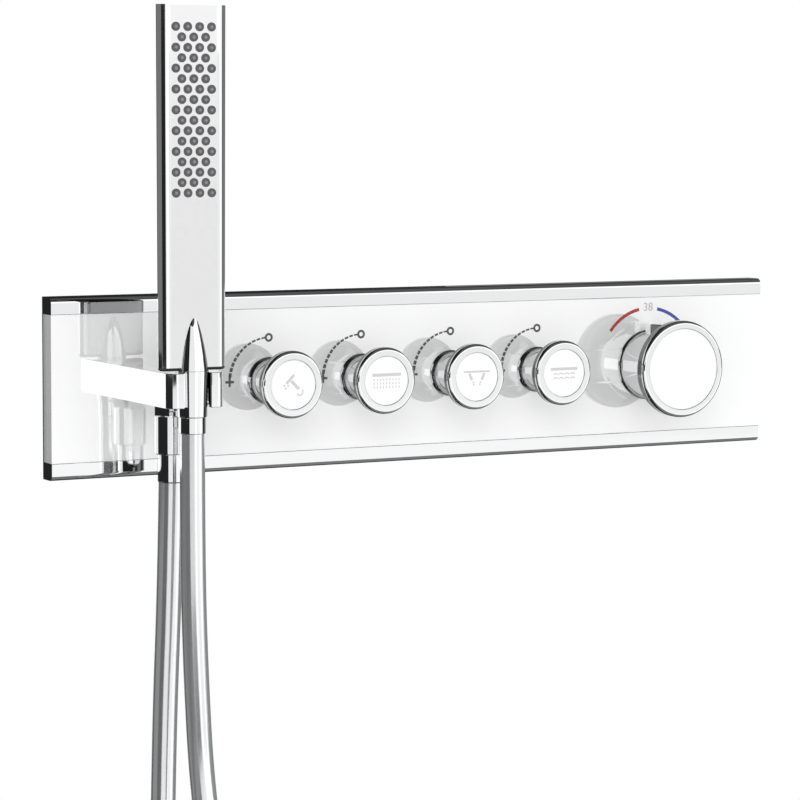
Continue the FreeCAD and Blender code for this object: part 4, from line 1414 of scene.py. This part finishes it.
def nozzle_tree(name, finish):
    """Nozzles in long and short rows that alternate, each a low cone."""
    tree, given, result = node_group(
        "GeometryNodeTree", name,
        {"Bottom radius": FLOAT, "Top radius": FLOAT, "Height": FLOAT, "Pitch": FLOAT, "Row pitch": FLOAT,
         "Rows": WHOLE, "Columns": WHOLE, "Place": VECTOR}, {"Geometry": GEOMETRY})
    cone = add_node(tree, "GeometryNodeMeshCone", {
        "Vertices": NOZZLE_SIDES, "Radius Bottom": given["Bottom radius"],
        "Radius Top": given["Top radius"], "Depth": given["Height"]})
    facing = add_node(tree, "GeometryNodeTransform", {"Geometry": cone["Mesh"], "Rotation": TO_FRONT})
    both = tree.nodes.new("GeometryNodeJoinGeometry")
    long_rows = maths(tree, "CEIL", maths(tree, "DIVIDE", given["Rows"], 2))
    short_rows = maths(tree, "SUBTRACT", given["Rows"], long_rows)
    double_pitch = maths(tree, "MULTIPLY", given["Row pitch"], 2)
    for rows, fewer in ((long_rows, 0), (short_rows, 1)):
        columns = maths(tree, "SUBTRACT", given["Columns"], fewer)
        wide = maths(tree, "MULTIPLY", maths(tree, "SUBTRACT", columns, 1), given["Pitch"])
        tall = maths(tree, "MULTIPLY", maths(tree, "SUBTRACT", rows, 1), double_pitch)
        grid = add_node(tree, "GeometryNodeMeshGrid", {
            "Size X": wide, "Size Y": tall, "Vertices X": columns, "Vertices Y": rows})
        stood = add_node(tree, "GeometryNodeTransform", {"Geometry": grid["Mesh"], "Rotation": TO_FRONT})
        tree.links.new(stood["Geometry"], both.inputs["Geometry"])
    spots = add_node(tree, "GeometryNodeTransform",
                     {"Geometry": both.outputs["Geometry"], "Translation": given["Place"]})
    spread = add_node(tree, "GeometryNodeInstanceOnPoints",
                      {"Points": spots["Geometry"], "Instance": facing["Geometry"]})
    realized(tree, result, spread["Instances"], finish)
    return tree


def nozzles(name, finish, sizes, cone, side):
    """All nozzles' cones of one kind, behind the spray face's front or before it by the side's sign."""
    bottom, top, height = cone
    half_rows = (sizes.nozzle_rows - 1) / 2 * sizes.nozzle_row_pitch
    place = (SEAT.x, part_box("handset_face")[0].y + side * height / 2,
             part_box("handset_body")[1].z - sizes.nozzle_first_row - half_rows)
    values = {"Bottom radius": bottom * sizes.nozzle_radius, "Top radius": top * sizes.nozzle_radius,
              "Height": height, "Pitch": sizes.nozzle_pitch, "Row pitch": sizes.nozzle_row_pitch,
              "Rows": sizes.nozzle_rows, "Columns": sizes.nozzle_columns, "Place": place}
    return grown(name, nozzle_tree(name, finish), values)


class MIXER_OT_hand_shower(bpy.types.Operator):
    """Finishes the hand shower's stick, spray face, nozzles and pointed connector"""
    bl_idname = "mixer.hand_shower"
    bl_label = "Hand shower"

    def execute(self, context):
        sizes = context.scene.mixer_sizes
        body = wear(stick(), "polished_chrome", "handset_body")
        # painted shade: the back, towards the plate, in darker chrome
        tint(body, "back_chrome", lambda centre, normal: normal.y > BACK_FACING)
        # painted shadow: the lower end's rounding and bottom face in black, for the shadow gap above the
        # arm
        lower_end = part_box("handset_body")[0].z + STICK_END_ROUND
        tint(body, "black_rubber", lambda centre, normal: centre.z < lower_end)
        wear(spray_face(), "satin_chrome", "handset_face")
        rims = nozzles("nozzle_rims", "nozzle_grey", sizes, RIM_CONE, 1)
        wear(rims, "nozzle_grey", "handset_nozzles")
        tips = nozzles("nozzle_tips", "nozzle_light", sizes, TIP_CONE, -1)
        wear(tips, "nozzle_light", body="hand_shower", slot="nozzle_rubber")
        # painted shade on the connector's side towards the knobs
        painted_shade_side(wear(connector(), "polished_chrome", "handset_connector"))
        return {"FINISHED"}


# Works behind the plate
INNER_FINISHES = {
    "brass": "cast_brass",
    "cartridge_plastic": "cartridge_white",
    "steel": "galvanised_steel",
    "rubber": "black_rubber",
}


def spring(node, finish, joint, given):
    """A coil spring's finished copy in place of its node; the ends that it would give between are worked
    out but not used.
    """
    letter = given["mode"][-1]
    axis = "xyz".index(letter)
    fixed = given[f"fixed_end_{letter}_m"]
    start = middle(node)
    start[axis] = fixed
    end = middle(node)
    end[axis] = max((corner[axis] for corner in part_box(node)), key=lambda place: abs(place - fixed))
    give(smooth_copy(node), finish, joint["parent"], joint["child"], start, end, node)


class MIXER_OT_works(bpy.types.Operator):
    """Finishes the valve body, cartridges, springs, screws and plates behind the panel"""
    bl_idname = "mixer.works"
    bl_label = "Works"

    def execute(self, context):
        springs = {given["node"]: (joint, given) for joint in frame["record"]["behaviour"]["joints"]
                   for given in joint.get("deforming_nodes", ())}
        for node, made in frame["nodes"].items():
            if made.hide_render or SLOT_OF[node] not in INNER_FINISHES:
                continue
            finish = INNER_FINISHES[SLOT_OF[node]]
            if node in springs:
                spring(node, finish, *springs[node])
            else:
                wear(smooth_copy(node), finish, node)
        return {"FINISHED"}


class MIXER_PT_panel(bpy.types.Panel):
    """Lists the steps that dress the shower mixer"""
    bl_label = "Shower mixer"
    bl_idname = "MIXER_PT_panel"
    bl_space_type = "VIEW_3D"
    bl_region_type = "UI"
    bl_category = "Mixer"

    def draw(self, context):
        for step in STEPS:
            self.layout.operator(step.bl_idname)
        for settings in (context.scene.mixer_sizes, context.scene.mixer_finish):
            for name in settings.bl_rna.properties.keys():
                if name not in ("rna_type", "name"):
                    self.layout.prop(settings, name)


STEPS = (
    MIXER_OT_finishes, MIXER_OT_stage, MIXER_OT_hose, MIXER_OT_panel, MIXER_OT_volume_knobs,
    MIXER_OT_thermostat, MIXER_OT_print, MIXER_OT_holder, MIXER_OT_hand_shower, MIXER_OT_works,
)
CLASSES = (MixerKnob, MixerSizes, MixerFinish, *STEPS, MIXER_PT_panel)


def register():
    for made in CLASSES:
        bpy.utils.register_class(made)
    bpy.types.Scene.mixer_sizes = PointerProperty(type=MixerSizes)
    bpy.types.Scene.mixer_finish = PointerProperty(type=MixerFinish)


def unregister():
    del bpy.types.Scene.mixer_finish
    del bpy.types.Scene.mixer_sizes
    for made in reversed(CLASSES):
        bpy.utils.unregister_class(made)


def main():
    register()
    bpy.ops.mixer.finishes()
    bpy.ops.mixer.stage()
    bpy.ops.mixer.hose()
    bpy.ops.mixer.panel()
    bpy.ops.mixer.volume_knobs()
    bpy.ops.mixer.thermostat()
    bpy.ops.mixer.print()
    bpy.ops.mixer.holder()
    bpy.ops.mixer.hand_shower()
    bpy.ops.mixer.works()


if __name__ == "__main__":
    main()
